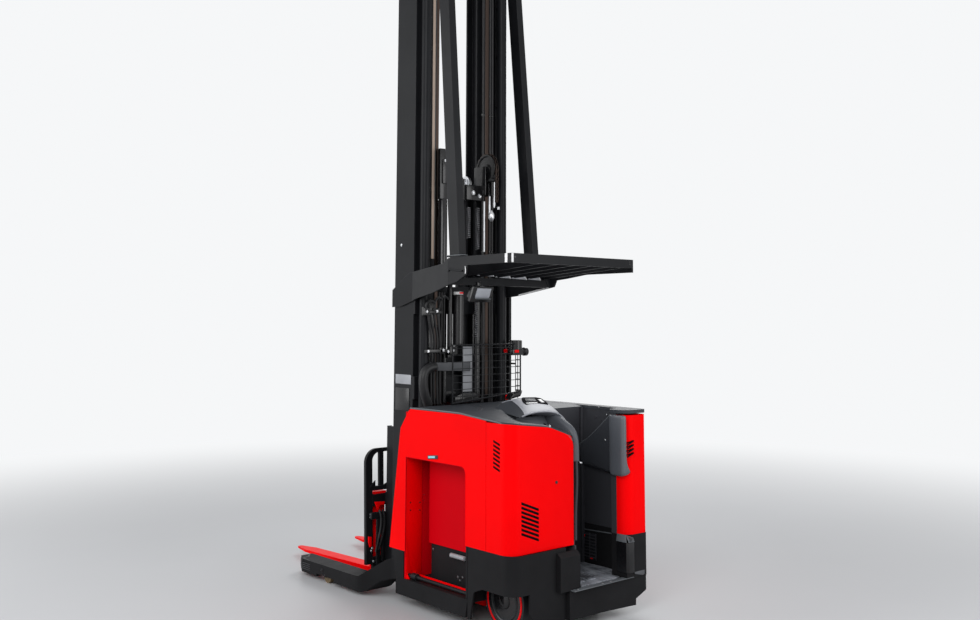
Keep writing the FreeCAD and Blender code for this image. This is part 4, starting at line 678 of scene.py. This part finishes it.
class TRUCK_OT_pad(Operator):
    """Padded side bolster: a crowned panel and the roll that wraps the rear post"""

    bl_idname = "truck.pad"
    bl_label = "Wall pad"

    def execute(self, context):
        middle_x, middle_z = (sum(values) / len(values) for values in zip(*pad_outline))
        rows = [[(middle_x + (x - middle_x) * share, y, middle_z + (z - middle_z) * share) for x, z in pad_outline]
                for share, y in pad_crown]
        panel = Form().skin(rows, closed=True, capped=(-1,))
        made = panel.keep("wall_bolster", "pad_vinyl", levels=1, instead_of=["wall_pad"])
        # the roll in a paler vinyl: painted highlight
        (Form().skin(roll_rows(), closed=True, capped=(0, -1))
         .keep("bolster_roll", "roll_vinyl", levels=1))
        (Form()
         .tube([(97, -420, 850), (97, -418, 1000), (97, -418, 1205)], 3)
         .tube(flat("Y", -417, (110, 862), (150, 856), (220, 864), (324, 880), (420, 888)), 1.4)
         .keep("bolster_seam", "dark_plastic"))
        Form().tube(flat("Y", -424, *pad_outline[1:11]), 3).keep("bolster_piping", "trim_grey")
        Form().turned([(8, 0), (8, 3), (5, 5)], "Y", 20, (204, -419, 1044)).keep("bolster_bolt", "steel")
        return {"FINISHED"}


# ---------------------------------------------------------------- covers


slot_rows = (       # how many, across which axis, at what face, how thick, and the top slot's corners
    (7, "Y", 533.6, 0.8, ((202, 1107), (202, 1120), (143, 1101), (143, 1088))),
    (8, "X", 50.4, -0.8, ((448, 758), (448, 773), (312, 721), (312, 706))),
    (4, "X", -43.6, -0.8, ((-358, 1034), (-358, 1045), (-420, 1067), (-420, 1056))),
)


class TRUCK_OT_covers(Operator):
    """Grilles behind the cooling slots, the cover's lock and the panel's catch"""

    bl_idname = "truck.covers"
    bl_label = "Cover fittings"

    def execute(self, context):
        (Form().block((140, 516, 930), (206, 520, 1124), 1).block((62, 300, 520), (66, 456, 790), 1)
         .keep("cover_grilles", "grille"))
        # near-black sheets over the cooling slots: painted shade inside the slots
        slot_shade = Form()
        for count, axis, face, thickness, corners in slot_rows:
            for k in range(count):
                slot_shade.sheet(axis, face, thickness, 0.3, *((across, z - SLOT_PITCH * k) for across, z in corners))
        slot_shade.keep("slot_screens", "slot_black")
        (Form()
         .turned([(9, 0), (9, -3), (7, -5), (7, -4)], "X", 24, (50, 168, 856))
         .turned([(3, -2), (3, -6), (2, -7)], "X", 12, (50, 168, 856))
         .keep("cover_lock", "dark_plastic"))
        (Form().sheet("Y", 534.5, 3.5, 1, (838, 946), (838, 968), (736, 978), (736, 955))
         .keep("panel_catch_body", "dark_plastic"))
        (Form().sheet("Y", 537, 2.5, 0.8, (830, 951), (830, 964), (762, 971), (762, 958))
         .keep("panel_catch_face", "catch_blue"))
        return {"FINISHED"}


class TRUCK_OT_bay(Operator):
    """Fittings in the battery bay: damper, bolts, a bright red plate of painted light over the front wall with hole
    discs of painted shade, the opening's edge and the red kick strip
    """

    bl_idname = "truck.bay"
    bl_label = "Battery bay"

    def execute(self, context):
        (Form()
         .turned([(9, 0), (14, 4), (14, 140), (9, 144)], "X", 24, (614, 410, 352))
         .block((630, 388, 344), (642, 404, 360), 2)
         .block((722, 388, 344), (734, 404, 360), 2)
         .keep("bay_damper", "plate_grey"))
        (Form().bolts("Y", 6, 4, *flat("Y", 388, (970, 350), (712, 222), (690, 205), (664, 228)))
         .keep("bay_bolts", "spring_steel"))
        (Form()
         .block((463, 446, 165.5), (1079, 466, 192), 3)
         .sheet("X", 1078, -4, 1, (470, 166), (526, 166), (526, 430), (500, 250))
         .keep("bay_kick_strip", "red_paint"))
        # a plate in the bright body red over the bay's front wall: painted light on the lit wall
        (Form()
         .block((1078, 402, 166), (1079.6, 526, 932), 0.5)
         .plate([(1078, 526, 166), (1078, 526, 240), (1072, 520, 200), (1050, 516, 166)], (0, -4, 0), 0.5)
         .keep("bay_liner", "red_paint"))
        # black discs for the plate's bolt holes: painted shade in the holes
        (Form()
         .turned([(5, 0), (5, -0.8)], "X", 12, *flat("X", 1078, (494, 640), (494, 592), (420, 632), (420, 584)))
         .keep("bay_liner_holes", "gloss_black"))
        (Form()
         .rod(flat("Y", 533, (1078, 300), (1078, 934), (760, 934), (520, 934), (478, 924), (465, 900), (463, 480)), 2.2)
         .keep("bay_opening_edge", "red_inner"))
        return {"FINISHED"}


# ---------------------------------------------------------------- step


class TRUCK_OT_step(Operator):
    """Step's rim strip with its screws, the air grille, wall trim and bumper trim at the entry"""

    bl_idname = "truck.step"
    bl_label = "Step"

    def execute(self, context):
        (Form().sheet("Z", 228, 4, 1.6, (-41, 108), (-41, -470), (-20, -524), (4, -524), (4, 108))
         .keep("step_rim", "trim_grey"))
        (Form().turned([(8, 0), (8, 2.2), (5, 3.4)], "Z", 18, *((-16, y, 231.5) for y in (60, -153, -224, -400)))
         .keep("step_screws", "steel"))
        (Form()
         .sheet("Z", 262, 182, 2, (44, -351), (44, -343), (-40, -342), (-54, -352), (-56, -400), (-45, -400))
         .keep("post_bumper", "gloss_black"))
        (Form()
         .plate([(-32, -350, 490), (-46, -402, 470), (-57, -402, 445), (-55, -350, 445)], (1.5, 0, 1.5), 0.5)
         .plate([(44, -351, 488), (-32, -351, 490), (-44, -342, 445), (44, -342, 445)], (0, 1.5, 1.5), 0.5)
         .keep("bumper_wedge", "trim_grey"))
        (Form().sheet("X", -49, 3, 1, (-410, 250), (-410, 262), (-500, 262), (-500, 238), (-486, 232))
         .keep("post_foot_band", "plate_dark"))
        self.grille()
        (Form().tube([(132, -451, 455), (250, -451, 450), (434, -451, 444)], 4)
         .keep("wall_trim", "trim_grey"))
        (Form()
         .tube([(40, 8, 970), (38, 6, 900), (38, 6, 840), (40, 8, 770), (42, 12, 700), (43, 14, 600),
                (43, 14, 500)], 8, 3)
         .keep("entry_edge_trim", "slate_plastic"))
        pedals = Form()
        for y in (-196, -86):
            for x in range(84, 189, 26):
                pedals.block((x, y + 8, 248), (x + 10, y + 82, 250.5), 0.8)
        pedals.keep("pedal_ribs", "dark_plastic")
        return {"FINISHED"}

    def grille(self):
        Form().block((318, -452, 258), (434, -450.5, 430), 0.5).keep("grille_recess", "grille")
        bars = Form()
        for z in range(272, 413, 20):
            bars.block((322, -451, z), (432, -447, z + 7), 1)
        for x in (320, 376, 430):
            bars.block((x, -451, 262), (x + 5, -446.5, 428), 1)
        bars.keep("grille_bars", "dark_plastic")
        (Form().block((352, -449.5, 264), (376, -448, 270), 0.6).block((424, -449.5, 396), (431, -448, 418), 0.6)
         .keep("grille_tags", "red_plastic"))


# ---------------------------------------------------------------- wheels


drive_x, drive_z = 255, 171.5       # axle of the drive wheel
hub_bolt_circle = 80


class TRUCK_OT_wheels(Operator):
    """Drive wheel's red ring, dished hub and bolts, and the caster's hub caps"""

    bl_idname = "truck.wheels"
    bl_label = "Wheels"

    def execute(self, context):
        face = (drive_x, 400, drive_z)
        (Form()
         .turned([(157, 0), (157, 2.5), (154, 4), (146, 4), (143, 2.5), (143, 0)], "Y", 64, face, band=True)
         .keep("drive_wheel_ring", "red_plastic", "drive_wheel"))
        (Form()
         .turned([(143, -1), (143, 1.2), (128, 3), (112, 1), (102, -8), (92, -17), (78, -20), (64, -16),
                  (52, -6), (40, 1), (24, 4), (8, 5)], "Y", 64, face)
         .keep("drive_hub", "gloss_black", "drive_wheel"))
        turns = [math.radians(60 * k + 20) for k in range(6)]
        (Form()
         .bolts("Y", 5, 4, *((drive_x + hub_bolt_circle * math.cos(turn), 380,
                              drive_z + hub_bolt_circle * math.sin(turn)) for turn in turns))
         .keep("drive_wheel_bolts", "spring_steel", "drive_wheel"))
        (Form()
         .turned([(26, -0.5), (26, -3), (20, -7), (8, -8)], "Y", 28, (282, -358, 72))
         .turned([(26, 0.5), (26, 3), (20, 7), (8, 8)], "Y", 28, (282, -302, 72))
         .keep("caster_hub", "steel", "caster_wheel"))
        return {"FINISHED"}


# ---------------------------------------------------------------- mast


sheave_x, sheave_y, sheave_z = 1080, -148, 2893     # middle of the chain sheave
chain_radius = 104                                  # from there to the chain's middle
chain_start, chain_turn = 200, 10                   # degrees, the first link on the sheave and the step to the next
chain_x, chain_z, chain_pitch = 976, 2876, 17       # the chain's straight run and its step downwards


class TRUCK_OT_mast(Operator):
    """Cylinders, brackets, hoses, chain sheave, springs, caps and blank plates behind the fixed mast"""

    bl_idname = "truck.mast"
    bl_label = "Mast fittings"

    def execute(self, context):
        self.arm_and_boot()
        self.hoses()
        self.shade_sheets_and_housings()
        self.sheave()
        self.anchors()
        self.lower_fittings()
        self.rail_plates()
        return {"FINISHED"}

    def arm_and_boot(self):
        (Form()
         .sheet("X", 1102, 12, 3, (-12, 1468), (322, 1479), (330, 1534), (-12, 1527))
         .sheet("X", 1102, 60, 2, (-12, 1466), (-20, 1466), (-20, 1530), (-12, 1530))
         .block((1112, 30, 1480), (1187, 60, 1520), 3)
         .keep("mast_arm", "plate_dark"))
        (Form()
         .turned([(32, 0), (32, 520), (26, 530)], "Z", 32, (1150, 196, 2125))
         .turned([(18, 0), (18, 470)], "Z", 20, (1150, 128, 1620))
         .turned([(14, 0), (14, 360)], "Z", 20, (1150, 172, 1260))
         .keep("mast_columns", "gloss_black"))
        Form().block((1185, 243, 2240), (1187, 266, 4520), 0.6).keep("chain_guard_strip", "chain_guard")
        Form().block((1182, 236, 2240), (1184, 242.5, 4520), 0.6).keep("chain_guard_edge", "trim_grey")
        (Form()
         .tube([(1082, 300, 1506), (1082, 352, 1504), (1080, 396, 1470), (1080, 402, 1400), (1080, 388, 1330),
                (1084, 360, 1268), (1088, 352, 1254)], 31, 5)
         .keep("mast_boot", "hose_rubber"))

    def hoses(self):
        runs = Form()
        for top_y, middle_y, low_y in ((352, 322, 300), (334, 296, 276), (304, 272, 250), (276, 250, 226)):
            runs.tube([(1096, top_y, 1862), (1096, top_y - 4, 1820), (1098, middle_y, 1700),
                       (1100, middle_y - 2, 1600), (1128, low_y, 1540), (1134, low_y, 1400),
                       (1130, low_y - 6, 1255)], 8.5)
        (runs
         .tube([(1090, 300, 1930), (1070, 330, 1950), (1080, 380, 1940), (1086, 384, 1880), (1090, 360, 1850)], 8)
         .tube([(1090, 240, 1950), (1080, 262, 1972), (1084, 300, 1962), (1090, 306, 1900), (1094, 300, 1850)], 8)
         .tube([(1100, 180, 1960), (1092, 210, 1985), (1090, 250, 1965), (1092, 262, 1900), (1096, 270, 1840)], 7)
         .keep("mast_hose_bundle", "hose_rubber"))
        (Form()
         .block((1084, 250, 1862), (1110, 396, 1884), 4)
         .block((1082, 344, 1848), (1104, 404, 1908), 6)
         .block((1088, 268, 1854), (1110, 312, 1900), 5)
         .block((1084, 134, 1598), (1112, 372, 1622), 4)
         .block((1080, 118, 1580), (1110, 176, 1640), 8)
         .block((1084, 214, 1590), (1108, 262, 1634), 6)
         .block((1110, 140, 1560), (1187, 172, 1600), 4)
         .keep("hose_clamps", "gloss_black"))
        clamp_bolts = flat("X", 1081, (375, 1876), (290, 1878), (360, 1611), (234, 1616), (192, 1606), (150, 1612))
        Form().bolts("X", 6, 5, *clamp_bolts, side=-1).keep("clamp_bolts", "steel")

    def shade_sheets_and_housings(self):
        # gloss-black sheets filling the mast's see-through gaps: painted shade of the mast's dark inside
        (Form()
         .block((1182, 130, 1260), (1186, 300, 1960), 1)
         .block((1182, -300, 1260), (1186, -180, 1960), 1)
         .block((1186, 40, 1226), (1190, 310, 1330), 1)
         .keep("mast_shroud", "gloss_black"))
        Form().block((428, -464, 232), (468, -432, 1238), 6).keep("wall_corner_post", "dark_plastic")
        Form().block((560, 256, 62), (700, 300, 136), 4).keep("under_rail", "red_paint")
        (Form()
         .block((1124, 166, 2650), (1170, 240, 3010), 14)
         .block((1110, 176, 2760), (1126, 226, 2930), 6)
         .block((1128, -148, 2667), (1186, 0, 2775), 5)
         .keep("mast_housings", "gloss_black"))

    def sheave(self):
        middle = (sheave_x, sheave_y, sheave_z)
        (Form()
         .turned([(102, -17), (102, 17), (92, 17), (84, 8), (34, 8), (34, 20), (14, 20), (14, -20), (34, -20),
                  (34, -8), (84, -8), (92, -17)], "Y", 48, middle, band=True)
         .turned([(14, -34), (14, 34)], "Y", 24, middle)
         .block((1060, -122, 2700), (1186, -112, 2910), 6)
         .block((1060, -184, 2700), (1186, -174, 2910), 6)
         .keep("chain_sheave", "gloss_black"))
        chain = Form()
        for k in range(22):
            angle = math.radians(chain_start - chain_turn * k)
            out = Vector((math.cos(angle), 0, math.sin(angle)))
            chain.link(Vector(middle) + out * chain_radius, Vector((-out.z, 0, out.x)), k % 2)
        for k in range(14):
            chain.link(Vector((chain_x, sheave_y, chain_z - chain_pitch * k)), AXES["Z"], k % 2)
        chain.keep("sheave_chain", "chain_steel")

    def anchors(self):
        (Form()
         .rod([(1100, -136, 2300), (1100, -136, 2660)], 7)
         .rod([(1092, -180, 2568), (1092, -180, 2802)], 7)
         .rod([(1082, -214, 2621), (1082, -214, 2805)], 6)
         .turned([(4, 60), (20, 34), (22, 6), (12, -14), (6, -20)], "Z", 24, (1086, -192, 2540))
         .turned([(9, 0), (9, 22)], "Z", 6, (1090, -222, 2636))
         .turned([(9, 0), (9, 20)], "Z", 6, (1090, -262, 2610))
         .bolts("X", 11, 9, (1127, -118, 2703), (1127, -60, 2720), side=-1)
         .bolts("X", 6, 4, (1110, 206, 2921), (1110, 184, 2795), side=-1)
         .keep("chain_anchors", "steel"))
        (Form()
         .coil((1120, -94, 2314), 300, 13, 3.2, 22)
         .coil((1120, -12, 2391), 220, 13, 3.2, 16)
         .coil((1120, -82, 1700), 270, 12, 3.0, 20)
         .keep("mast_springs", "spring_steel"))

    def lower_fittings(self):
        (Form()
         .turned([(30, 0), (40, 6), (40, 350), (34, 356)], "Z", 40, (1140, 62, 1640))
         .turned([(26, 0), (26, 700)], "Z", 32, (1150, -110, 1256))
         .block((1140, 20, 1700), (1187, 90, 1730), 4)
         .keep("mast_cylinder", "gloss_black"))
        (Form().turned([(35, 0), (35, 30), (24, 30), (24, 0)], "Z", 36, (1140, 62, 1984), band=True)
         .keep("cylinder_cap_ring", "white_tape"))
        (Form()
         .turned([(24, 0), (24, 20), (20, 24)], "Z", 32, (1140, 62, 1990))
         .block((1102, 46, 2000), (1108, 78, 2012), 2)
         .turned([(11, 0), (11, 26), (8, 30)], "Z", 20, (1110, 98, 1252))
         .turned([(11, 0), (11, 30), (8, 34)], "Z", 20, (1110, -362, 1254))
         .block((1104, -364, 1586), (1116, -336, 1612), 4)
         .keep("red_caps", "red_plastic"))
        (Form()
         .sheet("X", 1090, 60, 8, (130, 1252), (120, 1300), (60, 1318), (-60, 1318), (-90, 1252))
         .turned([(5, 0), (5, 90)], "Z", 12, (1110, 98, 1200))
         .turned([(5, 0), (5, 60)], "Z", 12, (1110, -362, 1200))
         .block((1116, -370, 1580), (1187, -330, 1620), 4)
         .keep("valve_block", "gloss_black"))
        (Form().sheet("X", 1152, 3, 1, (12, 1323), (12, 1635), (-75, 1633), (-75, 1323))
         .keep("blank_plate", "plate_grey"))

    def rail_plates(self):
        Form().block((1240, 397.5, 1208), (1400, 400.5, 1360), 1.2).keep("rail_cover", "gloss_black")
        Form().block((1222, 397.5, 1386), (1402, 399.5, 1450), 0.8).keep("rail_blank_plate", "plate_grey")
        Form().bolts("Y", 7, 4, (1352, 397.5, 2336)).keep("rail_bolt", "steel")
        (Form().block((1160, -449, 285), (1205, -426, 2010), 3).block((1172, -427, 1985), (1192, -415, 2003), 2)
         .keep("guard_brace_post", "charcoal_paint"))
        guides = Form()
        for y in (-190, -254, -276):
            for z in (2300, 3300):
                guides.block((1168, y - 12, z), (1187, y + 12, z + 16), 3)
        for z in (3380, 3760, 4130):
            guides.block((1183, -372, z), (1206, -330, z + 14), 2)
        guides.keep("hose_guides", "gloss_black")


# ---------------------------------------------------------------- cage


cage_foot, cage_top, cage_pitch = 1262, 1650, 46        # the guard's height and its wires' spacing


class TRUCK_OT_cage(Operator):
    """Welded wire guard behind the mast with its box, lamp and connector"""

    bl_idname = "truck.cage"
    bl_label = "Wire guard"

    def execute(self, context):
        wires = Form()
        wires.rod([(1013, 206, cage_foot), (1013, 206, cage_top), (1013, -380, cage_top), (1020, -420, cage_top),
                   (1050, -436, cage_top), (1100, -436, cage_top)], 6)
        wires.rod([(1013, 206, cage_foot), (1013, -380, cage_foot + 50), (1020, -420, cage_foot + 54),
                   (1050, -436, cage_foot + 56), (1100, -436, cage_foot + 56)], 6)
        for z in range(cage_foot + 44, cage_top, cage_pitch):
            wires.rod(flat("Z", z, (1013, 206), (1013, -370), (1018, -408), (1036, -430), (1100, -436)), 2.4)
        for y in (206, 120, 34, -52, -138, -224, -310, -380):
            wires.rod([(1013, y, cage_foot), (1013, y, cage_top)], 2.6)
        for x, y in ((1024, -418), (1050, -434), (1076, -436), (1100, -436)):
            wires.rod([(x, y, cage_foot + 50), (x, y, cage_top)], 3.0)
        wires.block((1018, 190, 1250), (1030, 206, 1268), 2)
        wires.block((1100, -442, 1500), (1206, -430, 1512), 2)
        wires.keep("wire_guard", "charcoal_paint", instead_of=["mesh_guard"])
        (Form()
         .block((1000, -434, 1570), (1060, -322, 1612), 8)
         .turned([(46, 0), (46, 62), (42, 66)], "Z", 32, (1040, -384, 1610))
         .turned([(30, -10), (30, 14), (16, 24)], "Y", 24, (1016, -452, 1594))
         .sheet("X", 1004, 60, 6, (-330, 1300), (-420, 1318), (-400, 1280), (-300, 1262))
         .keep("beacon_base", "gloss_black"))
        Form().block((994, -376, 1588), (1002, -338, 1608), 3).keep("beacon_lamp", "red_plastic")
        return {"FINISHED"}


# ---------------------------------------------------------------- overhead guard


slat_ends = (
    ((188, 2112), (81, 2156), (40, 2110)),
    ((30, 2105), (-74, 2153), (-108, 2101)),
    ((-111, 2101), (-218, 2141), (-257, 2096)),
    ((-267, 2099), (-361, 2136), (-390, 2094)),
)
lamp_tilt = Matrix.Rotation(math.radians(-24), 4, "Y")


class TRUCK_OT_guard(Operator):
    """Pale plates and rods of painted light on the slat ends, the rear corner and edges, flanges, hole discs of painted
    shade, strut feet and the work lamp of the overhead guard
    """

    bl_idname = "truck.guard"
    bl_label = "Guard fittings"

    def execute(self, context):
        # thin white plates either side of the guard's rounded rear corner: painted highlights on the bend
        (Form()
         .block((76, 533.5, 2157), (100, 534.7, 2211), 0.3)
         .block((43.3, 514, 2157), (44.5, 531, 2211), 0.3)
         .keep("guard_bands", "white_tape"))
        # pale plates on the slat ends and white rods along their edges: painted light on faces and edges
        ends, edges = Form(), Form()
        for corners in slat_ends:
            ends.sheet("X", 784, 2.5, 0.6, *corners)
            edges.rod(flat("X", 782, *corners[1:]), 2.6)
        ends.keep("slat_ends", "plate_grey")
        # a white strip along the right plate's lower edge and a bead on the left side: painted highlights
        (edges
         .plate([(1056, -426, 1992), (1056, -426, 2002), (800, -484, 2052), (800, -484, 2042)], (0, 2.5, 0), 0.6)
         .tube(flat("Y", 535, (474, 2150), (466, 2128), (472, 2104)), 2.5)
         .keep("guard_bright_edges", "white_tape"))
        (Form()
         .sheet("X", 786, 4, 1, (-424, 2138), (-484, 2110), (-488, 2046), (-462, 2060))
         .tube([(640, 535, 2140), (590, 536, 2128), (500, 536, 2122)], 6)
         .turned([(9, 0), (9, 5), (6, 7)], "Y", 20, (640, 533, 2130))
         .keep("guard_brackets", "charcoal_paint"))
        # black discs for the guard's holes: painted shade in them
        (Form().turned([(7, 0.4), (7, -1.0)], "X", 18, (45, 501, 2189), (45, -500, 2180), (45, -500, 2196))
         .keep("guard_holes", "gloss_black"))
        (Form()
         .block((520, 480, 2213), (660, 534, 2222), 3)
         .plate([(860, -484, 2120), (860, -426, 2120), (990, -426, 2104), (990, -484, 2104)], (0, 0, 9), 3)
         .keep("strut_feet", "charcoal_paint"))
        # pale rods along the strut foot's base edges: its weld line, lightened as painted highlight
        (Form().rod([(517, 535, 2223), (664, 535, 2223)], 2.5).rod([(517, 480, 2223), (517, 535, 2223)], 2.5)
         .keep("strut_foot_edges", "trim_grey"))
        self.lamp()
        return {"FINISHED"}

    def lamp(self):
        (Form()
         .block((532, 284, 1950), (592, 420, 2028), 10, lamp_tilt)
         .block((522, 276, 1930), (548, 440, 2036), 6, lamp_tilt)
         .block((556, 340, 2020), (580, 366, 2062), 3)
         .keep("lamp_housing", "gloss_black", instead_of=["work_lamp"]))
        Form().block((514, 296, 1956), (522, 410, 2020), 3, lamp_tilt).keep("lamp_lens", "lamp_glass")
        (Form()
         .block((514, 290, 1950), (522, 416, 1955), 1.5, lamp_tilt)
         .block((514, 290, 2021), (522, 416, 2026), 1.5, lamp_tilt)
         .keep("lamp_rim", "trim_grey"))


# ---------------------------------------------------------------- forks and legs


class TRUCK_OT_forks(Operator):
    """Gussets, locks, hoses and blank plates of the fork frame and the base legs"""

    bl_idname = "truck.forks"
    bl_label = "Fork frame and legs"

    def execute(self, context):
        (Form()
         .sheet("X", 1700, 10, 1, (400, 652), (352, 652), (352, 694))
         .sheet("X", 1700, 10, 1, (290, 652), (200, 652), (200, 696))
         .sheet("X", 1700, 10, 1, (-300, 652), (-252, 652), (-252, 694))
         .keep("fork_frame_gussets", "charcoal_paint", "fork_frame"))
        (Form()
         .block((1640, 304, 440), (1660, 420, 486), 5)
         .block((1640, 304, 150), (1660, 330, 440), 5)
         .block((1644, 340, 130), (1660, 372, 440), 6)
         .keep("shifter_blocks", "charcoal_paint", "tilt_frame"))
        (Form()
         .sheet("X", 1650, 12, 2, (386, 555), (304, 550), (312, 524), (340, 530), (361, 497))
         .sheet("X", 1654, 10, 2, (432, 325), (407, 320), (405, 256), (420, 252), (432, 290))
         .keep("shifter_locks", "red_paint", "tilt_frame"))
        (Form()
         .tube([(1642, 330, 500), (1630, 318, 460), (1628, 320, 380), (1634, 336, 300), (1640, 360, 230)], 8)
         .tube([(1642, 356, 500), (1626, 346, 450), (1626, 354, 360), (1634, 372, 280), (1640, 380, 220)], 8)
         .keep("shifter_hoses", "hose_rubber", "tilt_frame"))
        frame_bolts = flat("X", 1668, (240, 622), (408, 470), (408, 452), (392, 240), (398, 222), (380, 150))
        Form().bolts("X", 7, 6, *frame_bolts, side=-1).keep("fork_frame_bolts", "steel", "fork_frame")
        self.leg_fittings("left", 1)
        self.leg_fittings("right", -1)
        return {"FINISHED"}

    def leg_fittings(self, name, side):
        def mirrored(*points):
            return [(x, side * y) for x, y in points]

        (Form()
         .sheet("Z", 112, 1.5, 0.4, *mirrored((2120, 618), (2204, 606), (2196, 566), (2112, 578)))
         .sheet("Z", 113, 1.5, 0.4, *mirrored((1976, 614), (2030, 606), (2024, 562), (1970, 570)))
         .keep("leg_plates_" + name, "plate_grey"))
        ribs = Form()
        for z in range(48, 88, 13):
            ribs.block((2100, side * 630, z), (2204, side * 631.5, z + 5), 0.6)
            ribs.plate([(2214, side * 630, z), (2214, side * 630, z + 5), (2326, side * 572, z + 5),
                        (2326, side * 572, z)], (3, side * 2, 0), 0.5)
        (ribs
         .sheet("Z", 112, 3, 0.8, *mirrored((2106, 560), (2106, 624), (2212, 612), (2230, 560), (2300, 510),
                                            (2312, 510), (2240, 566), (2218, 622), (2096, 630), (2096, 560)))
         .keep("leg_ribs_" + name, "dark_plastic"))
        (Form().bolts("Y", 9, 6, (1935, side * 630, 80), side=side).bolts("Y", 7, 5, (1895, side * 630, 49), side=side)
         .keep("leg_bolts_" + name, "motor_paint"))


# ---------------------------------------------------------------- stage


FLOOR_HALF = 60.0                           # m
LENS_SHIFT = (-0.02755, -0.09898)
CAMERA_PLACE = (-4359.3, 4397.0, 1820.0)
CAMERA_HEADING, CAMERA_RISE = -41.6, 6.1    # degrees from straight ahead and from level
LAMP_FOCUS = (900, 0, 1200)


class TRUCK_OT_stage(Operator):
    """Floor, backdrop, soft lamps and camera"""

    bl_idname = "truck.stage"
    bl_label = "Stage"

    def execute(self, context):
        scene = context.scene
        scene.view_settings.view_transform = "Standard"
        for make in (self.floor, self.world, self.lamps, self.camera):
            make(scene, scene.truck_stage)
        return {"FINISHED"}

    def floor(self, scene, stage):
        """Pale floor that keeps the truck's shadow and fades into the backdrop further off."""
        made = bpy.data.meshes.new("studio_floor")
        corners = [(x * FLOOR_HALF, y * FLOOR_HALF, 0) for x, y in ((-1, -1), (1, -1), (1, 1), (-1, 1))]
        made.from_pydata(corners, [], [(0, 1, 2, 3)])
        floor = bpy.data.objects.new("studio_floor", made)
        scene.collection.objects.link(floor)
        s = Shader("Studio floor")
        s.set(Base_Color=s.tones(s.noise(0.7), stage.floor, (0.3, 0.97), (0.7, 1.0)), Roughness=0.42,
              Specular_IOR_Level=0.3)
        fade = s.node("MapRange", interpolation_type="SMOOTHSTEP", From_Min=stage.near, From_Max=stage.far,
                      Value=s.math("LENGTH", s.place, kind="VectorMath")).outputs["Result"]
        s.blend(s.math("MULTIPLY", fade, s.seen()), s.shader, s.node("Emission", Color=stage.backdrop),
                "Material Output")
        floor.data.materials.append(s.material)

    def world(self, scene, stage):
        """Soft sky for the light, and the plain backdrop for what is seen."""
        world = bpy.data.worlds.new("Studio")
        scene.world = world
        world.use_nodes = True
        t = Tree(world.node_tree)
        sky = t.tree.nodes["Background"]
        t.put(sky.inputs["Color"], (0.94, 0.96, 1.0))
        t.put(sky.inputs["Strength"], 0.5)
        t.blend(t.seen(), sky, t.node("Background", Color=stage.backdrop, Strength=1.0), "World Output")

    def lamps(self, scene, stage):
        focus = at(*LAMP_FOCUS)
        for name, where, power, wide, high in (
            ("key_lamp", (-2600, 4800, 4200), stage.key, 3.2, 4.2),
            ("fill_lamp", (-4200, -1500, 2600), stage.fill, 3.0, 3.6),
            ("window_lamp", (3800, 5200, 3000), stage.key * 0.75, 3.5, 4.5),
            ("back_lamp", (4200, -4200, 4600), stage.fill * 1.2, 3.0, 3.0),
        ):
            light = bpy.data.lights.new(name, "AREA")
            light.shape = "RECTANGLE"
            light.size, light.size_y, light.energy = wide, high, power
            lamp = bpy.data.objects.new(name, light)
            scene.collection.objects.link(lamp)
            lamp.location = at(*where)
            lamp.rotation_euler = (focus - lamp.location).to_track_quat("-Z", "Y").to_euler()

    def camera(self, scene, stage):
        lens = bpy.data.cameras.new("camera")
        lens.sensor_width = 36.0
        lens.lens = stage.lens
        lens.shift_x, lens.shift_y = LENS_SHIFT
        lens.clip_end = 200.0
        camera = bpy.data.objects.new("camera", lens)
        scene.collection.objects.link(camera)
        camera.location = at(*CAMERA_PLACE)
        heading, rise = math.radians(CAMERA_HEADING), math.radians(CAMERA_RISE)
        way = Vector((math.cos(heading) * math.cos(rise), math.sin(heading) * math.cos(rise), math.sin(rise)))
        camera.rotation_euler = way.to_track_quat("-Z", "Y").to_euler()
        scene.camera = camera


# ---------------------------------------------------------------- panel and run


class TRUCK_PT_panel(Panel):
    """Settings and steps of the truck's dressing"""

    bl_label = "Reach Truck"
    bl_idname = "TRUCK_PT_panel"
    bl_space_type = "VIEW_3D"
    bl_region_type = "UI"
    bl_category = "Reach Truck"

    def draw(self, context):
        for group in (context.scene.truck_paint, context.scene.truck_stage):
            box = self.layout.box()
            for key in group.__annotations__:
                box.prop(group, key)
        for step in steps:
            self.layout.operator(step.bl_idname)


steps = (TRUCK_OT_finishes, TRUCK_OT_console, TRUCK_OT_pad, TRUCK_OT_covers, TRUCK_OT_bay, TRUCK_OT_step,
         TRUCK_OT_wheels, TRUCK_OT_mast, TRUCK_OT_cage, TRUCK_OT_guard, TRUCK_OT_forks, TRUCK_OT_stage)
classes = (TruckPaint, TruckStage, *steps, TRUCK_PT_panel)


def register():
    for each in classes:
        bpy.utils.register_class(each)
    bpy.types.Scene.truck_paint = PointerProperty(type=TruckPaint)
    bpy.types.Scene.truck_stage = PointerProperty(type=TruckStage)


def unregister():
    del bpy.types.Scene.truck_stage
    del bpy.types.Scene.truck_paint
    for each in reversed(classes):
        bpy.utils.unregister_class(each)


def main():
    register()
    for step in steps:
        group, name = step.bl_idname.split(".")
        getattr(getattr(bpy.ops, group), name)()


if __name__ == "__main__":
    main()
